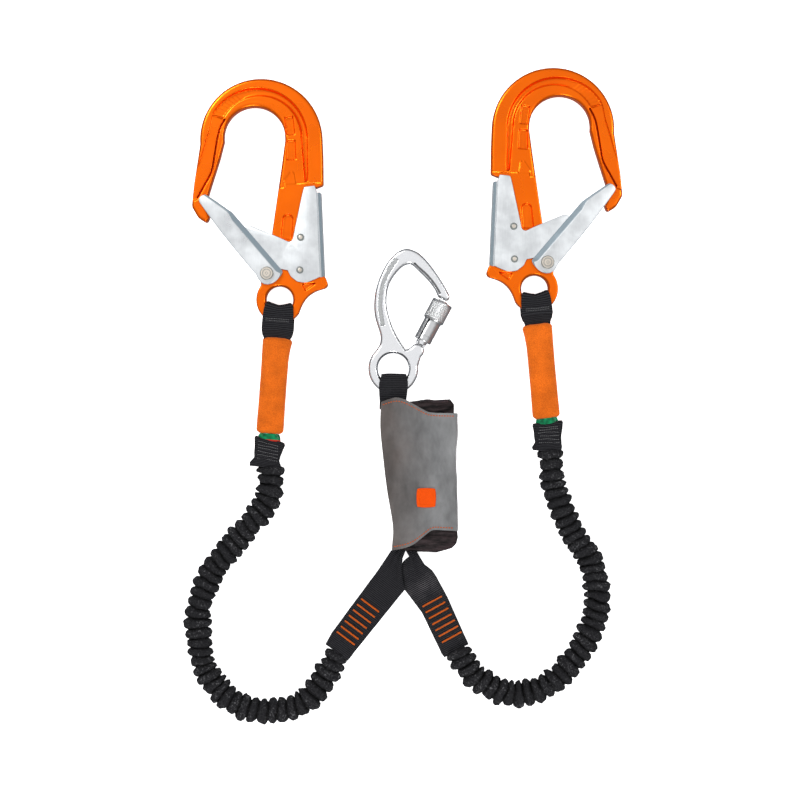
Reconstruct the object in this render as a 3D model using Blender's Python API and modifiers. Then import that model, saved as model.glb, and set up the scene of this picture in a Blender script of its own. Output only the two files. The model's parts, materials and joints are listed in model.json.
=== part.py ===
"""Twin-leg shock absorbing lanyard, laid flat.

Origin: centre of the underside of the absorber pack. +Y runs from the pack to the carabiner,
+Z away from the floor. Plan dimensions are written in millimetres and turned into metres by MM.
"""
import math

import bmesh
import bpy
from mathutils import Matrix, Vector

# ---------------------------------------------------------------- driving dimensions
MM = 0.001
MID = 15.0              # height of the common middle plane above the floor
GAP = 0.3               # clearance between touching pieces

EYE_HOLE_R = 13.3       # hook eye
EYE_RING_R = 23.5
RIM_HALF = 8.0          # half thickness of the hook's rims
BLADE_HALF = 6.8        # half thickness of the hook's lower end, inside the lever
BLADE_TOP = 115.0       # where the thinner lower end stops
GROOVE_DEPTH = 3.5
LEVER_IN = 7.2          # lever side plates, inner and outer half distances
LEVER_OUT = 9.0
GATE_IN = 9.5           # gate side plates, inner and outer half distances
GATE_OUT = 11.5
GATE_PIVOT = (-11.3, 26.4)
GATE_ANGLE = 128.1      # direction of the closed gate, degrees
LEVER_PIVOT = (21.6, 28.5)
LEVER_STOP = (23.7, 61.0)
GATE_BORE_R = 3.4       # bores in the hook and in its gate and lever
LEVER_BORE_R = 2.9
CUT_REACH = 20          # far enough to cut right through a hook or the carabiner
CROWN_R = 61.0
THROAT_R = 30.4

WEB_T = 2.4             # thickness of the webbing
LOOP_HALF = 15.2        # half width of the webbing through the hook eye
TAIL_HALF = 15.0
COVER_HALF = 14.0       # half width and half height of the elastic cover
CORE_HALF = (7.5, 2.0)  # half width and half thickness of the load webbing in the elastic leg
COVER_RINGS = 11        # sections of each half of an elastic cover
COVER_SIDES = 12
PER_SPAN = 8            # steps between two knots of a leg's path
LEG_END = 5.0           # how far an elastic cover stops short of a joint

SPLICE_LENGTH = 27.0
TAG = (28.0, 34.0)      # inspection tag, from and to along the grip
SLEEVE = (34.6, 126.0)  # padded sleeve, from and to along the grip

PACK_T = 30.0           # thickness of the absorber pack
SHEET = 1.8             # thickness of the cover cloth
FLAP_HINGE = (33.6, 28.6)      # x and z of the cover's fold line

RING_C = (-29.7, 106.3)        # carabiner eye
RING_HOLE_R = 15.5
RING_R = 25.0
CARABINER_HALF = 6.0
CAR_PIVOT = (-6.0, 124.0)
CAR_GATE_ANGLE = 62.0
PIN_BORE_R = 2.2
LUG_R = 7.2             # rounded end of the body round the gate's pin
SLEEVE_R = 10.75        # lock sleeve, its wide end
BARREL_R = 5.4          # carabiner gate
STRAP_HALF = 13.0
STRAP_FOLD = (80.0, 24.5)      # y and z of the line where the top strap folds

LEFT = {
    "side": "left",
    "mirror": 1.0,
    "eye": (-143.0, 175.0),
    "splice": (-156.0, 7.0),
    "hook_turn": 2.5,
    "pivot": (-18.0, -87.0),
    "tail_end": (-85.0, -177.0),
    "tail_z": 18.2,
    "leg": ((-155, 1), (-160, -32), (-188, -68), (-211, -96), (-223, -129), (-225, -152), (-217, -196),
            (-190, -226), (-154, -236), (-119, -227), (-94, -196), (-85, -177)),
    "split": 5,
}
RIGHT = {
    "side": "right",
    "mirror": -1.0,
    "eye": (111.3, 186.0),
    "splice": (126.5, 24.0),
    "hook_turn": -2.5,
    "pivot": (-14.0, -87.0),
    "tail_end": (34.0, -175.0),
    "tail_z": 13.4,
    "leg": ((128, 19), (131, -12), (148, -54), (166, -84), (174, -112), (174.5, -128), (170, -149),
            (155, -178), (128, -208), (92, -219), (57, -205), (41, -187), (34, -175)),
    "split": 5,
}

# ---------------------------------------------------------------- materials
PALETTE = {
    "orange_paint": ((0.85, 0.23, 0.02), 0.25, 0.1),
    "zinc_steel": ((0.62, 0.66, 0.70), 0.38, 1.0),
    "alloy": ((0.72, 0.74, 0.76), 0.25, 1.0),
    "spring_steel": ((0.35, 0.35, 0.37), 0.35, 1.0),
    "black_webbing": ((0.02, 0.02, 0.025), 0.85, 0.0),
    "elastic_cloth": ((0.03, 0.03, 0.035), 0.9, 0.0),
    "sleeve_cloth": ((0.66, 0.20, 0.05), 0.9, 0.0),
    "tag_green": ((0.02, 0.22, 0.10), 0.3, 0.0),
    "orange_thread": ((0.80, 0.24, 0.07), 0.8, 0.0),
    "grey_cloth": ((0.22, 0.22, 0.22), 0.9, 0.0),
    "dark_cloth": ((0.04, 0.03, 0.035), 0.9, 0.0),
}
made_materials = {}


def material(name):
    """A Principled material from the palette, made once."""
    if name not in made_materials:
        colour, roughness, metallic = PALETTE[name]
        mat = bpy.data.materials.new(name)
        mat.use_nodes = True
        shader = mat.node_tree.nodes["Principled BSDF"]
        shader.inputs["Base Color"].default_value = (*colour, 1.0)
        shader.inputs["Roughness"].default_value = roughness
        shader.inputs["Metallic"].default_value = metallic
        made_materials[name] = mat
    return made_materials[name]


# ---------------------------------------------------------------- scene set-up
for old in list(bpy.data.objects):
    bpy.data.objects.remove(old, do_unlink=True)

parts = bpy.data.collections.new("shock_absorbing_lanyard")
cutters = bpy.data.collections.new("cutters")
bpy.context.scene.collection.children.link(parts)
bpy.context.scene.collection.children.link(cutters)


def pivot(name, x, y, z=MID, turn=0.0, parent=None):
    """An empty on a joint's axis; x, y and z are in world millimetres."""
    empty = bpy.data.objects.new(name, None)
    empty.empty_display_size = 0.01
    parts.objects.link(empty)
    place = Matrix.Translation(Vector((x, y, z)) * MM) @ Matrix.Rotation(math.radians(turn), 4, "Z")
    if parent is not None:
        empty.parent = parent
        place = world_of(parent).inverted() @ place
    empty.matrix_basis = place
    return empty


def world_of(obj):
    """World matrix of an object from its parents' basis matrices."""
    matrix = obj.matrix_basis.copy()
    if obj.parent is not None:
        matrix = world_of(obj.parent) @ matrix
    return matrix


def finish(obj, mat, parent, local=None, collection=parts):
    """Gives a piece its material, collection, parent and place under that parent."""
    if obj.name not in collection.objects:
        for home in list(obj.users_collection):
            home.objects.unlink(obj)
        collection.objects.link(obj)
    obj.data.materials.clear()
    obj.data.materials.append(material(mat))
    obj.parent = parent
    obj.matrix_basis = local if local is not None else Matrix.Identity(4)
    return obj


def in_world(parent):
    """Local matrix that leaves a mesh given in world coordinates where it is."""
    return world_of(parent).inverted()


# ---------------------------------------------------------------- outlines
def arc(cx, cy, radius, start, end, steps):
    """Points of a circular arc, from start to end degrees."""
    points = []
    for i in range(steps + 1):
        a = math.radians(start + (end - start) * i / steps)
        points.append((cx + radius * math.cos(a), cy + radius * math.sin(a)))
    return points


def rounded(corners, step=24.0):
    """A closed outline from corners (x, y) or (x, y, radius); a radius is turned into an arc."""
    outline = []
    count = len(corners)
    for i, corner in enumerate(corners):
        here = Vector(corner[:2])
        radius = corner[2] if len(corner) > 2 else 0.0
        if radius == 0.0:
            outline.append(tuple(here))
            continue
        back = Vector(corners[i - 1][:2]) - here
        ahead = Vector(corners[(i + 1) % count][:2]) - here
        back.normalize()
        ahead.normalize()
        half = back.angle(ahead) / 2
        reach = radius / math.tan(half)
        centre = here + (back + ahead).normalized() * (radius / math.sin(half))
        first = here + back * reach - centre
        turn = first.angle_signed(here + ahead * reach - centre)
        pieces = max(1, round(abs(math.degrees(turn)) / step))
        for k in range(pieces + 1):
            a = -turn * k / pieces
            spun = Matrix.Rotation(a, 2) @ first
            outline.append(tuple(centre + spun))
    return outline


def flat_curve(name, outline, low, high):
    """A 2D curve filled on both sides and extruded from z = low to z = high, as a mesh object."""
    curve = bpy.data.curves.new(name, "CURVE")
    curve.dimensions = "2D"
    curve.fill_mode = "BOTH"
    curve.extrude = (high - low) / 2 * MM
    spline = curve.splines.new("POLY")
    spline.points.add(len(outline) - 1)
    for point, (x, y) in zip(spline.points, outline):
        point.co = (x * MM, y * MM, 0.0, 1.0)
    spline.use_cyclic_u = True
    guide = bpy.data.objects.new(name + "_guide", curve)
    bpy.context.scene.collection.objects.link(guide)
    guide.location.z = (high + low) / 2 * MM
    return curve_to_mesh(guide, name)


def curve_to_mesh(guide, name):
    """Turns a curve object into a welded mesh object and removes the curve."""
    bpy.context.view_layer.update()
    evaluated = guide.evaluated_get(bpy.context.evaluated_depsgraph_get())
    mesh = bpy.data.meshes.new_from_object(evaluated)
    mesh.transform(guide.matrix_world)
    bm = bmesh.new()
    bm.from_mesh(mesh)
    bmesh.ops.remove_doubles(bm, verts=bm.verts, dist=0.00001)
    bmesh.ops.recalc_face_normals(bm, faces=bm.faces)
    bm.to_mesh(mesh)
    bm.free()
    mesh.name = name
    curve = guide.data
    bpy.data.objects.remove(guide, do_unlink=True)
    bpy.data.curves.remove(curve)
    return bpy.data.objects.new(name, mesh)


def disc(name, x, y, radius, low, high, steps=24):
    """A cylinder along Z."""
    bm = bmesh.new()
    bmesh.ops.create_cone(bm, cap_ends=True, segments=steps, radius1=radius * MM, radius2=radius * MM,
                          depth=(high - low) * MM,
                          matrix=Matrix.Translation(Vector((x, y, (low + high) / 2)) * MM))
    return mesh_object(name, bm)


def block(name, low, high):
    """A box between two corners."""
    bm = bmesh.new()
    size = Vector(high) - Vector(low)
    centre = (Vector(high) + Vector(low)) / 2
    place = Matrix.Translation(centre * MM) @ Matrix.Diagonal((*(size * MM), 1.0))
    bmesh.ops.create_cube(bm, size=1.0, matrix=place)
    return mesh_object(name, bm)


def mesh_object(name, bm):
    """An object from a bmesh, which is freed."""
    mesh = bpy.data.meshes.new(name)
    bm.to_mesh(mesh)
    bm.free()
    return bpy.data.objects.new(name, mesh)


def boolean(obj, tool, operation="DIFFERENCE"):
    """Adds a Boolean modifier with a hidden cutter that moves with the piece."""
    cutters.objects.link(tool)
    tool.parent = obj.parent
    tool.matrix_basis = obj.matrix_basis @ tool.matrix_basis
    tool.hide_render = True
    tool.display_type = "WIRE"
    modifier = obj.modifiers.new(tool.name, "BOOLEAN")
    modifier.object = tool
    modifier.operation = operation
    modifier.solver = "EXACT"


def soften(obj, width, segments=1):
    """A Bevel on the piece's sharp edges."""
    modifier = obj.modifiers.new("edge", "BEVEL")
    modifier.width = width * MM
    modifier.segments = segments
    modifier.limit_method = "ANGLE"
    modifier.angle_limit = math.radians(50)
    modifier.use_clamp_overlap = True


def turned(name, profile, steps=20):
    """A turned piece about Z from a profile of (radius, z), top to bottom."""
    mesh = bpy.data.meshes.new(name)
    points = [(r * MM, 0.0, z * MM) for r, z in profile]
    edges = [(i, i + 1) for i in range(len(points) - 1)]
    mesh.from_pydata(points, edges, [])
    obj = bpy.data.objects.new(name, mesh)
    screw = obj.modifiers.new("turn", "SCREW")
    screw.steps = steps
    screw.render_steps = steps
    screw.use_merge_vertices = True
    screw.merge_threshold = 0.00001
    return obj


def rivet(name, shaft, head, grip, reach, parent, place):
    """A headed rivet along Z: shaft and head radius, half grip and half length."""
    obj = turned(name, [(0, reach), (head * 0.75, reach), (head, reach - 1.0), (head, grip), (shaft, grip),
                        (shaft, -grip), (head, -grip), (head, 1.0 - reach), (head * 0.75, -reach),
                        (0, -reach)])
    return finish(obj, "zinc_steel", parent, place)


def coil(name, radius, wire, low, high, turns, parent, place):
    """A coil spring along Z."""
    curve = bpy.data.curves.new(name, "CURVE")
    curve.dimensions = "3D"
    curve.bevel_depth = wire * MM
    curve.bevel_resolution = 1
    curve.use_fill_caps = True
    per_turn = 9
    spline = curve.splines.new("POLY")
    spline.points.add(turns * per_turn)
    for i, point in enumerate(spline.points):
        a = math.tau * i / per_turn
        z = low + (high - low) * i / (turns * per_turn)
        point.co = (radius * MM * math.cos(a), radius * MM * math.sin(a), z * MM, 1.0)
    guide = bpy.data.objects.new(name + "_guide", curve)
    bpy.context.scene.collection.objects.link(guide)
    return finish(curve_to_mesh(guide, name), "spring_steel", parent, place)


def loft(name, sections, closed_ring=False):
    """A closed skin through sections of equal point count; closed_ring joins the last to the first."""
    bm = bmesh.new()
    rings = [[bm.verts.new(Vector(p) * MM) for p in section] for section in sections]
    count = len(rings[0])
    pairs = list(zip(rings, rings[1:]))
    if closed_ring:
        pairs.append((rings[-1], rings[0]))
    for one, two in pairs:
        for k in range(count):
            bm.faces.new((one[k], one[(k + 1) % count], two[(k + 1) % count], two[k]))
    if not closed_ring:
        bm.faces.new(rings[0][::-1])
        bm.faces.new(rings[-1])
    bmesh.ops.recalc_face_normals(bm, faces=bm.faces)
    return mesh_object(name, bm)


# ---------------------------------------------------------------- paths for soft parts
def smooth_path(knots):
    """Points of a smooth curve through the knots (Catmull-Rom)."""
    knots = [Vector(k) for k in knots]
    first = knots[0] * 2 - knots[1]
    last = knots[-1] * 2 - knots[-2]
    padded = [first, *knots, last]
    points = []
    for i in range(1, len(padded) - 2):
        p0, p1, p2, p3 = padded[i - 1:i + 3]
        for k in range(PER_SPAN):
            t = k / PER_SPAN
            points.append(0.5 * (2 * p1 + (p2 - p0) * t + (2 * p0 - 5 * p1 + 4 * p2 - p3) * t * t
                                 + (3 * p1 - p0 - 3 * p2 + p3) * t * t * t))
    points.append(knots[-1])
    return points


def trimmed(points, start, end, count):
    """Even stations along a path from start millimetres in to end millimetres before its end:
    a list of (point, tangent)."""
    lengths = [0.0]
    for a, b in zip(points, points[1:]):
        lengths.append(lengths[-1] + (b - a).length)
    total = lengths[-1]
    stations = []
    for i in range(count):
        want = start + (total - end - start) * i / (count - 1)
        k = max(j for j in range(len(points) - 1) if lengths[j] <= want + 1e-9)
        share = (want - lengths[k]) / (lengths[k + 1] - lengths[k])
        here = points[k].lerp(points[k + 1], share)
        stations.append((here, (points[k + 1] - points[k]).normalized()))
    return stations


def oval(point, tangent, half_width, half_height, sides, z=MID):
    """An oval section across a path in the middle plane."""
    across = Vector((-tangent.y, tangent.x))
    ring = []
    for k in range(sides):
        a = math.tau * k / sides
        side = half_width * math.cos(a)
        ring.append((point.x + across.x * side, point.y + across.y * side, z + half_height * math.sin(a)))
    return ring


def cover_tube(name, points, start, end, mat, parent):
    """A hollow elastic cover along a path, with tapered, open ends."""
    stations = trimmed(points, start, end, COVER_RINGS)
    outer = []
    for i, (point, tangent) in enumerate(stations):
        taper = 0.76 if i in (0, COVER_RINGS - 1) else 1.0
        outer.append(oval(point, tangent, COVER_HALF * taper, COVER_HALF * taper, COVER_SIDES))
    inner = []
    for point, tangent in stations:
        inner.append(oval(point, tangent, CORE_HALF[0] * 1.22, CORE_HALF[1] * 2.3, COVER_SIDES))
    obj = loft(name, outer + inner[::-1], closed_ring=True)
    return finish(obj, mat, parent, in_world(parent))


def ribbon(name, stations, half_width, half_thick, z, mat, parent):
    """Flat webbing along a path in the middle plane."""
    sections = []
    for point, tangent in stations:
        across = Vector((-tangent.y, tangent.x)) * half_width
        sections.append([(point.x - across.x, point.y - across.y, z - half_thick),
                         (point.x + across.x, point.y + across.y, z - half_thick),
                         (point.x + across.x, point.y + across.y, z + half_thick),
                         (point.x - across.x, point.y - across.y, z + half_thick)])
    return finish(loft(name, sections), mat, parent, in_world(parent))


def eye_loop(name, track, mat, parent, place):
    """Webbing that passes through an eye: a closed strip in the YZ plane whose width varies.
    track holds (y, z, half width) along the middle of the webbing."""
    sections = []
    for i, (y, z, half_width) in enumerate(track):
        before = Vector(track[max(i - 1, 0)][:2])
        after = Vector(track[min(i + 1, len(track) - 1)][:2])
        along = (after - before).normalized()
        side = Vector((-along.y, along.x)) * (WEB_T / 2)
        sections.append([(-half_width, y + side.x, z + side.y), (half_width, y + side.x, z + side.y),
                         (half_width, y - side.x, z - side.y), (-half_width, y - side.x, z - side.y)])
    return finish(loft(name, sections), mat, parent, place)


# ---------------------------------------------------------------- scaffold hook
def hook_outline():
    """Outline of the forged hook with its eye at the origin, nose on the -X side."""
    ring = arc(0, 0, EYE_RING_R, 180, 345, 9)
    spine = rounded([(23.6, 2.0), (32.0, 3.6, 8), (48.5, 9.0, 3), (46.0, 19.5, 2), (36.0, 22.0, 2),
                     (36.0, 110.5, 2), (47.5, 112.5, 2), (49.5, 140.0)])
    crown = arc(-11.5, 160, CROWN_R, 0, 180, 12)
    nose = rounded([(-72.5, 158), (-83.2, 96.0, 6), (-68.5, 81.0, 3), (-66.3, 107.5, 30), (-48.4, 160)])
    throat = arc(-18, 163, THROAT_R, 178, -4, 10)
    hinge = rounded([(12.3, 158), (-5.6, 62.0, 8), (-20.0, 52.0, 8), (-22.6, 26.0), (-23.4, 4.0)])
    return ring + spine + crown + nose + throat + hinge


def recess_outlines():
    """The hook's recesses: the groove between rim and inner band, two pockets, the lower slot
    and the small triangle in the wing."""
    outer = [(33.5, 117.0)] + arc(-15.5, 161.5, 50.5, -10, 150, 10) + [(-66, 165), (-74.0, 141), (-77.0, 112)]
    inner = [(-74.0, 108), (-59.5, 135)] + arc(-12.5, 163, 40.5, 165, -5, 10) + [(29.5, 117.0)]
    upper_pocket = [(14.0, 163.5), (22.5, 163.5), (21.5, 182.0), (12.0, 180.0)]
    lower_pocket = [(12.8, 138.5), (22.5, 138.5), (22.5, 158.0), (13.8, 158.0)]
    slot = rounded([(3.5, 63.0, 2), (14.0, 63.0, 2), (17.0, 83.5, 4.5), (7.0, 83.5, 4.5)])
    wing = [(25.5, 8.0), (37.5, 12.5), (36.5, 16.0), (23.5, 12.0)]
    return outer + inner, upper_pocket, lower_pocket, slot, wing


def lever_outline():
    """Side plate of the Y-shaped safety lever."""
    return rounded([(46.4, 21.0, 2), (46.4, 105.6, 2), (40.0, 111.9, 2), (29.4, 111.0, 2), (27.2, 104.0, 8),
                    (14.7, 56.0, 5), (3.0, 61.5, 6), (-24.5, 74.5, 2), (-31.0, 74.5, 2), (-30.0, 68.0, 3),
                    (9.8, 33.0, 4), (12.1, 24.0, 5), (18.5, 17.6, 5), (27.1, 15.9, 8), (36.5, 18.8, 6)])


def gate_outline():
    """Side plate of the gate along +X from its pivot; -Y faces the throat."""
    tail = arc(0, 0, 11.0, 150, 215, 3)
    body = rounded([(-8, -12.0, 3), (72, -12.0, 40), (92, -9.0, 10), (100.5, -5.0, 4), (100, 4.8, 3),
                    (83, 7.0, 10), (70, 7.7), (-8, 7.7, 3)])
    return tail + body


def make_hook(leg, grip):
    """All pieces of one scaffold hook."""
    side = leg["side"]
    mirror = leg["mirror"]
    x, y = leg["eye"]
    swing = pivot(f"{side}_hook_pivot", x, y, 0.0, leg["hook_turn"], grip)

    def flip(outline):
        return [(mirror * px, py) for px, py in outline]

    def at(point, angle=0.0):
        spot = Matrix.Translation(Vector((mirror * point[0], point[1], MID)) * MM)
        return spot @ Matrix.Rotation(math.radians(mirror * angle), 4, "Z")

    lift = Matrix.Translation(Vector((0, 0, MID)) * MM)
    body = finish(flat_curve(f"{side}_hook_body", flip(hook_outline()), -RIM_HALF, RIM_HALF),
                  "orange_paint", swing, lift)
    boolean(body, disc(f"{side}_eye_cut", 0, 0, EYE_HOLE_R, -CUT_REACH, CUT_REACH, 28))
    for top in (1, -1):
        face = sorted((top * (RIM_HALF - GROOVE_DEPTH), top * 12.0))
        for outline in recess_outlines():
            boolean(body, flat_curve(f"{side}_recess_cut", flip(outline), *face))
        low = sorted((top * BLADE_HALF, top * 12.0))
        boolean(body, block(f"{side}_blade_cut", (-60, -40, low[0]), (60, BLADE_TOP, low[1])))
    gx, gy = GATE_PIVOT
    lx, ly = LEVER_PIVOT
    sx, sy = LEVER_STOP
    boolean(body, disc(f"{side}_gate_bore", mirror * gx, gy, GATE_BORE_R, -CUT_REACH, 0.3, 16))
    boolean(body, disc(f"{side}_gate_spring_bore", mirror * gx, gy, 6.4, 0, CUT_REACH, 16))
    boolean(body, disc(f"{side}_lever_bore", mirror * lx, ly, LEVER_BORE_R, -CUT_REACH, 0.3, 16))
    boolean(body, disc(f"{side}_lever_spring_bore", mirror * lx, ly, 5.4, 0, CUT_REACH, 16))
    boolean(body, disc(f"{side}_stop_bore", mirror * sx, sy, LEVER_BORE_R, -CUT_REACH, CUT_REACH, 16))

    gate_pivot = pivot(f"{side}_gate_pivot", 0, 0, 0, 0, swing)
    gate_pivot.matrix_basis = at(GATE_PIVOT, GATE_ANGLE)
    plate = [(mirror * px, py) for px, py in gate_outline()]
    gate = finish(flat_curve(f"{side}_hook_gate", plate, -GATE_OUT, GATE_OUT), "zinc_steel", gate_pivot)
    cuts = (("rear", -20, 66, -30), ("hollow", 60, 90.9, -9.6), ("mouth", 90.8, 120, -30))
    for word, near, far, edge in cuts:
        boolean(gate, hand_block(f"{side}_gate_{word}", mirror, (near, edge, -GATE_IN), (far, 30, GATE_IN)))
    boolean(gate, disc(f"{side}_gate_pin_hole", 0, 0, GATE_BORE_R, -CUT_REACH, CUT_REACH, 16))

    lever_pivot = pivot(f"{side}_lever_pivot", 0, 0, 0, 0, swing)
    lever_pivot.matrix_basis = at(LEVER_PIVOT)
    plate = [(mirror * (px - lx), py - ly) for px, py in lever_outline()]
    lever = flat_curve(f"{side}_safety_lever", plate, -LEVER_OUT, LEVER_OUT)
    finish(lever, "zinc_steel", lever_pivot)
    inner_edge = 44.6 - lx
    boolean(lever, hand_block(f"{side}_lever_hollow", mirror, (-80, -60, -LEVER_IN),
                              (inner_edge, 120, LEVER_IN)))
    boolean(lever, disc(f"{side}_lever_pin_hole", 0, 0, LEVER_BORE_R, -CUT_REACH, CUT_REACH, 16))
    slot_x = mirror * (sx - lx)
    boolean(lever, block(f"{side}_stop_slot", (slot_x - 6.5, sy - ly - 3.1, -20),
                         (slot_x + 6.5, sy - ly + 3.1, 20)))

    rivet(f"{side}_gate_rivet", 3.0, 7.2, GATE_OUT + GAP, MID, swing, at(GATE_PIVOT))
    rivet(f"{side}_lever_rivet", 2.5, 3.4, LEVER_OUT + GAP, LEVER_OUT + 1.6, swing, at(LEVER_PIVOT))
    rivet(f"{side}_lever_stop_rivet", 2.5, 3.4, LEVER_OUT + GAP, LEVER_OUT + 1.6, swing, at(LEVER_STOP))
    coil(f"{side}_gate_spring", 4.7, 0.55, 1.2, 8.6, 4, swing, at(GATE_PIVOT))
    coil(f"{side}_lever_spring", 4.0, 0.5, 1.2, 6.2, 3, swing, at(LEVER_PIVOT))


def hand_block(name, mirror, low, high):
    """A block whose x is mirrored for the right-hand hook."""
    near, far = sorted((mirror * low[0], mirror * high[0]))
    return block(name, (near, *low[1:]), (far, *high[1:]))


# ---------------------------------------------------------------- leg
def grip_direction(leg):
    """Unit direction and length from the splice to the hook eye."""
    along = Vector(leg["eye"]) - Vector(leg["splice"])
    return along.normalized(), along.length


def make_grip(leg, parent):
    """Splice, tag, padded sleeve and the webbing loop through the hook eye."""
    side = leg["side"]
    along, length = grip_direction(leg)
    turn = math.degrees(math.atan2(along.y, along.x)) - 90
    grip = pivot(f"{side}_grip_pivot", *leg["splice"], MID, turn, parent)
    top = BLADE_HALF + GAP + 0.4 + WEB_T / 2
    inner = WEB_T / 2 + 0.2
    eye_y = length - 6.0
    loop = [(SLEEVE[1] - 8, inner, 12.3), (SLEEVE[1] + 0.5, inner + 0.4, 12.3),
            (SLEEVE[1] + 4, inner + 1.6, LOOP_HALF),
            (length - 25, top, LOOP_HALF), (length - 12, top + 0.1, LOOP_HALF),
            (eye_y - 1.0, top - 0.3, 10.0), (eye_y, top - 3.0, 9.8), (eye_y, 3.0 - top, 9.8),
            (eye_y - 1.0, 0.3 - top, 10.0), (length - 12, -0.1 - top, LOOP_HALF),
            (length - 25, -top, LOOP_HALF), (SLEEVE[1] + 4, -inner - 1.6, LOOP_HALF),
            (SLEEVE[1] + 0.5, -inner - 0.4, 12.3),
            (SLEEVE[1] - 8, -inner, 12.3)]
    eye_loop(f"{side}_eye_webbing", loop, "black_webbing", grip, Matrix.Identity(4))

    splice = block(f"{side}_splice", (-14.5, 1.2, -4.0), (14.5, SPLICE_LENGTH, 4.0))
    finish(splice, "black_webbing", grip)
    soften(splice, 1.2)
    tag = block(f"{side}_inspection_tag", (-12.0, TAG[0] - 0.7, -4.6), (12.0, TAG[1], 4.6))
    finish(tag, "tag_green", grip)
    soften(tag, 2.0, 2)

    outline = rounded([(-12.6, SLEEVE[0], 4), (12.6, SLEEVE[0], 4), (12.2, 80.0, 200), (14.4, SLEEVE[1], 5),
                       (-14.4, SLEEVE[1], 5), (-12.2, 80.0, 200)])
    sleeve = finish(flat_curve(f"{side}_grip_sleeve", outline, -7.5, 7.5), "sleeve_cloth", grip)
    soften(sleeve, 4.0, 2)
    boolean(sleeve, block(f"{side}_sleeve_mouth", (-12.9, SLEEVE[1] - 12, -4.2), (12.9, SLEEVE[1] + 10, 4.2)))
    return grip


def make_leg(leg, root):
    """One leg from the pack to its hook."""
    side = leg["side"]
    knots = leg["leg"]
    path = smooth_path(knots)
    middle = leg["split"] * PER_SPAN
    upper = path[:middle + 1]
    lower = path[middle:]
    start = Vector(leg["pivot"])
    end = Vector(leg["tail_end"])
    slope = (end - start).normalized()

    tail_pivot = pivot(f"{side}_tail_pivot", *start, MID, 0, root)
    stations = [(start + slope * 3.0, slope), (end - slope * 4.0, slope)]
    ribbon(f"{side}_tail", stations, TAIL_HALF, WEB_T / 2 + 0.2, leg["tail_z"], "black_webbing",
           tail_pivot)
    tack_zig(leg, tail_pivot, start, slope, (end - start).length)

    lower_pivot = pivot(f"{side}_lower_leg_pivot", *end, MID, 0, tail_pivot)
    cover_tube(f"{side}_elastic_cover_lower", lower, 1.0, LEG_END + 2, "elastic_cloth", lower_pivot)
    ribbon(f"{side}_load_webbing_lower", trimmed(lower, 1.6, LEG_END + 3, COVER_RINGS), *CORE_HALF, MID,
           "black_webbing", lower_pivot)

    upper_pivot = pivot(f"{side}_upper_leg_slide", *knots[leg["split"]], MID, 0, lower_pivot)
    cover_tube(f"{side}_elastic_cover_upper", upper, LEG_END - 2, 1.0, "elastic_cloth", upper_pivot)
    ribbon(f"{side}_load_webbing_upper", trimmed(upper, LEG_END - 1, 1.6, COVER_RINGS), *CORE_HALF, MID,
           "black_webbing", upper_pivot)
    grip = make_grip(leg, upper_pivot)
    make_hook(leg, grip)


def tack_zig(leg, parent, start, slope, length):
    """Seven bar tacks as one run of thread: bars across the tail joined by short end stitches."""
    side = leg["side"]
    bars = 7
    pitch = 6.8
    half = 11.2
    thick = 1.0
    first = length - 59.0
    outline_left = []
    outline_right = []
    for i in range(bars):
        t = first + pitch * i
        outline_left += [(-half, t - thick), (-half, t + thick)]
        outline_right += [(half, t - thick), (half, t + thick)]
        if i < bars - 1:
            if i % 2 == 0:
                outline_left += [(half - thick, t + thick), (half - thick, t + pitch - thick)]
            else:
                outline_right += [(thick - half, t + thick), (thick - half, t + pitch - thick)]
    outline = outline_left + outline_right[::-1]
    z = leg["tail_z"] + WEB_T / 2 + 0.2 + GAP
    thread = flat_curve(f"{side}_bar_tacks", outline, z, z + 0.7)
    turn = math.atan2(slope.y, slope.x) - math.pi / 2
    place = Matrix.Translation(Vector((start.x, start.y, 0)) * MM) @ Matrix.Rotation(turn, 4, "Z")
    finish(thread, "orange_thread", parent, in_world(parent) @ place)


# ---------------------------------------------------------------- absorber pack
COVER_OUTLINE = ((-42.0, 73.0), (-26.3, 77.5), (-17.9, 75.4), (4.0, 63.5), (32.8, 61.7), (31.2, 18.7),
                 (33.0, -55.2), (8.8, -54.0), (-10.6, -69.6), (-31.2, -74.4), (-30.0, -50.4), (-36.0, -14.0),
                 (-40.3, 22.3))
POUCH_OUTLINE = ((-35.0, 66.0, 4), (0.3, 75.6, 4), (31.0, 71.5, 4), (29.5, 10.0, 30), (31.6, -71.5, 4),
                 (15.0, -76.5, 5), (-8.2, -75.3, 5), (-26.0, -68.0, 4), (-25.5, -48.0, 20), (-34.0, 20.0, 30))


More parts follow.
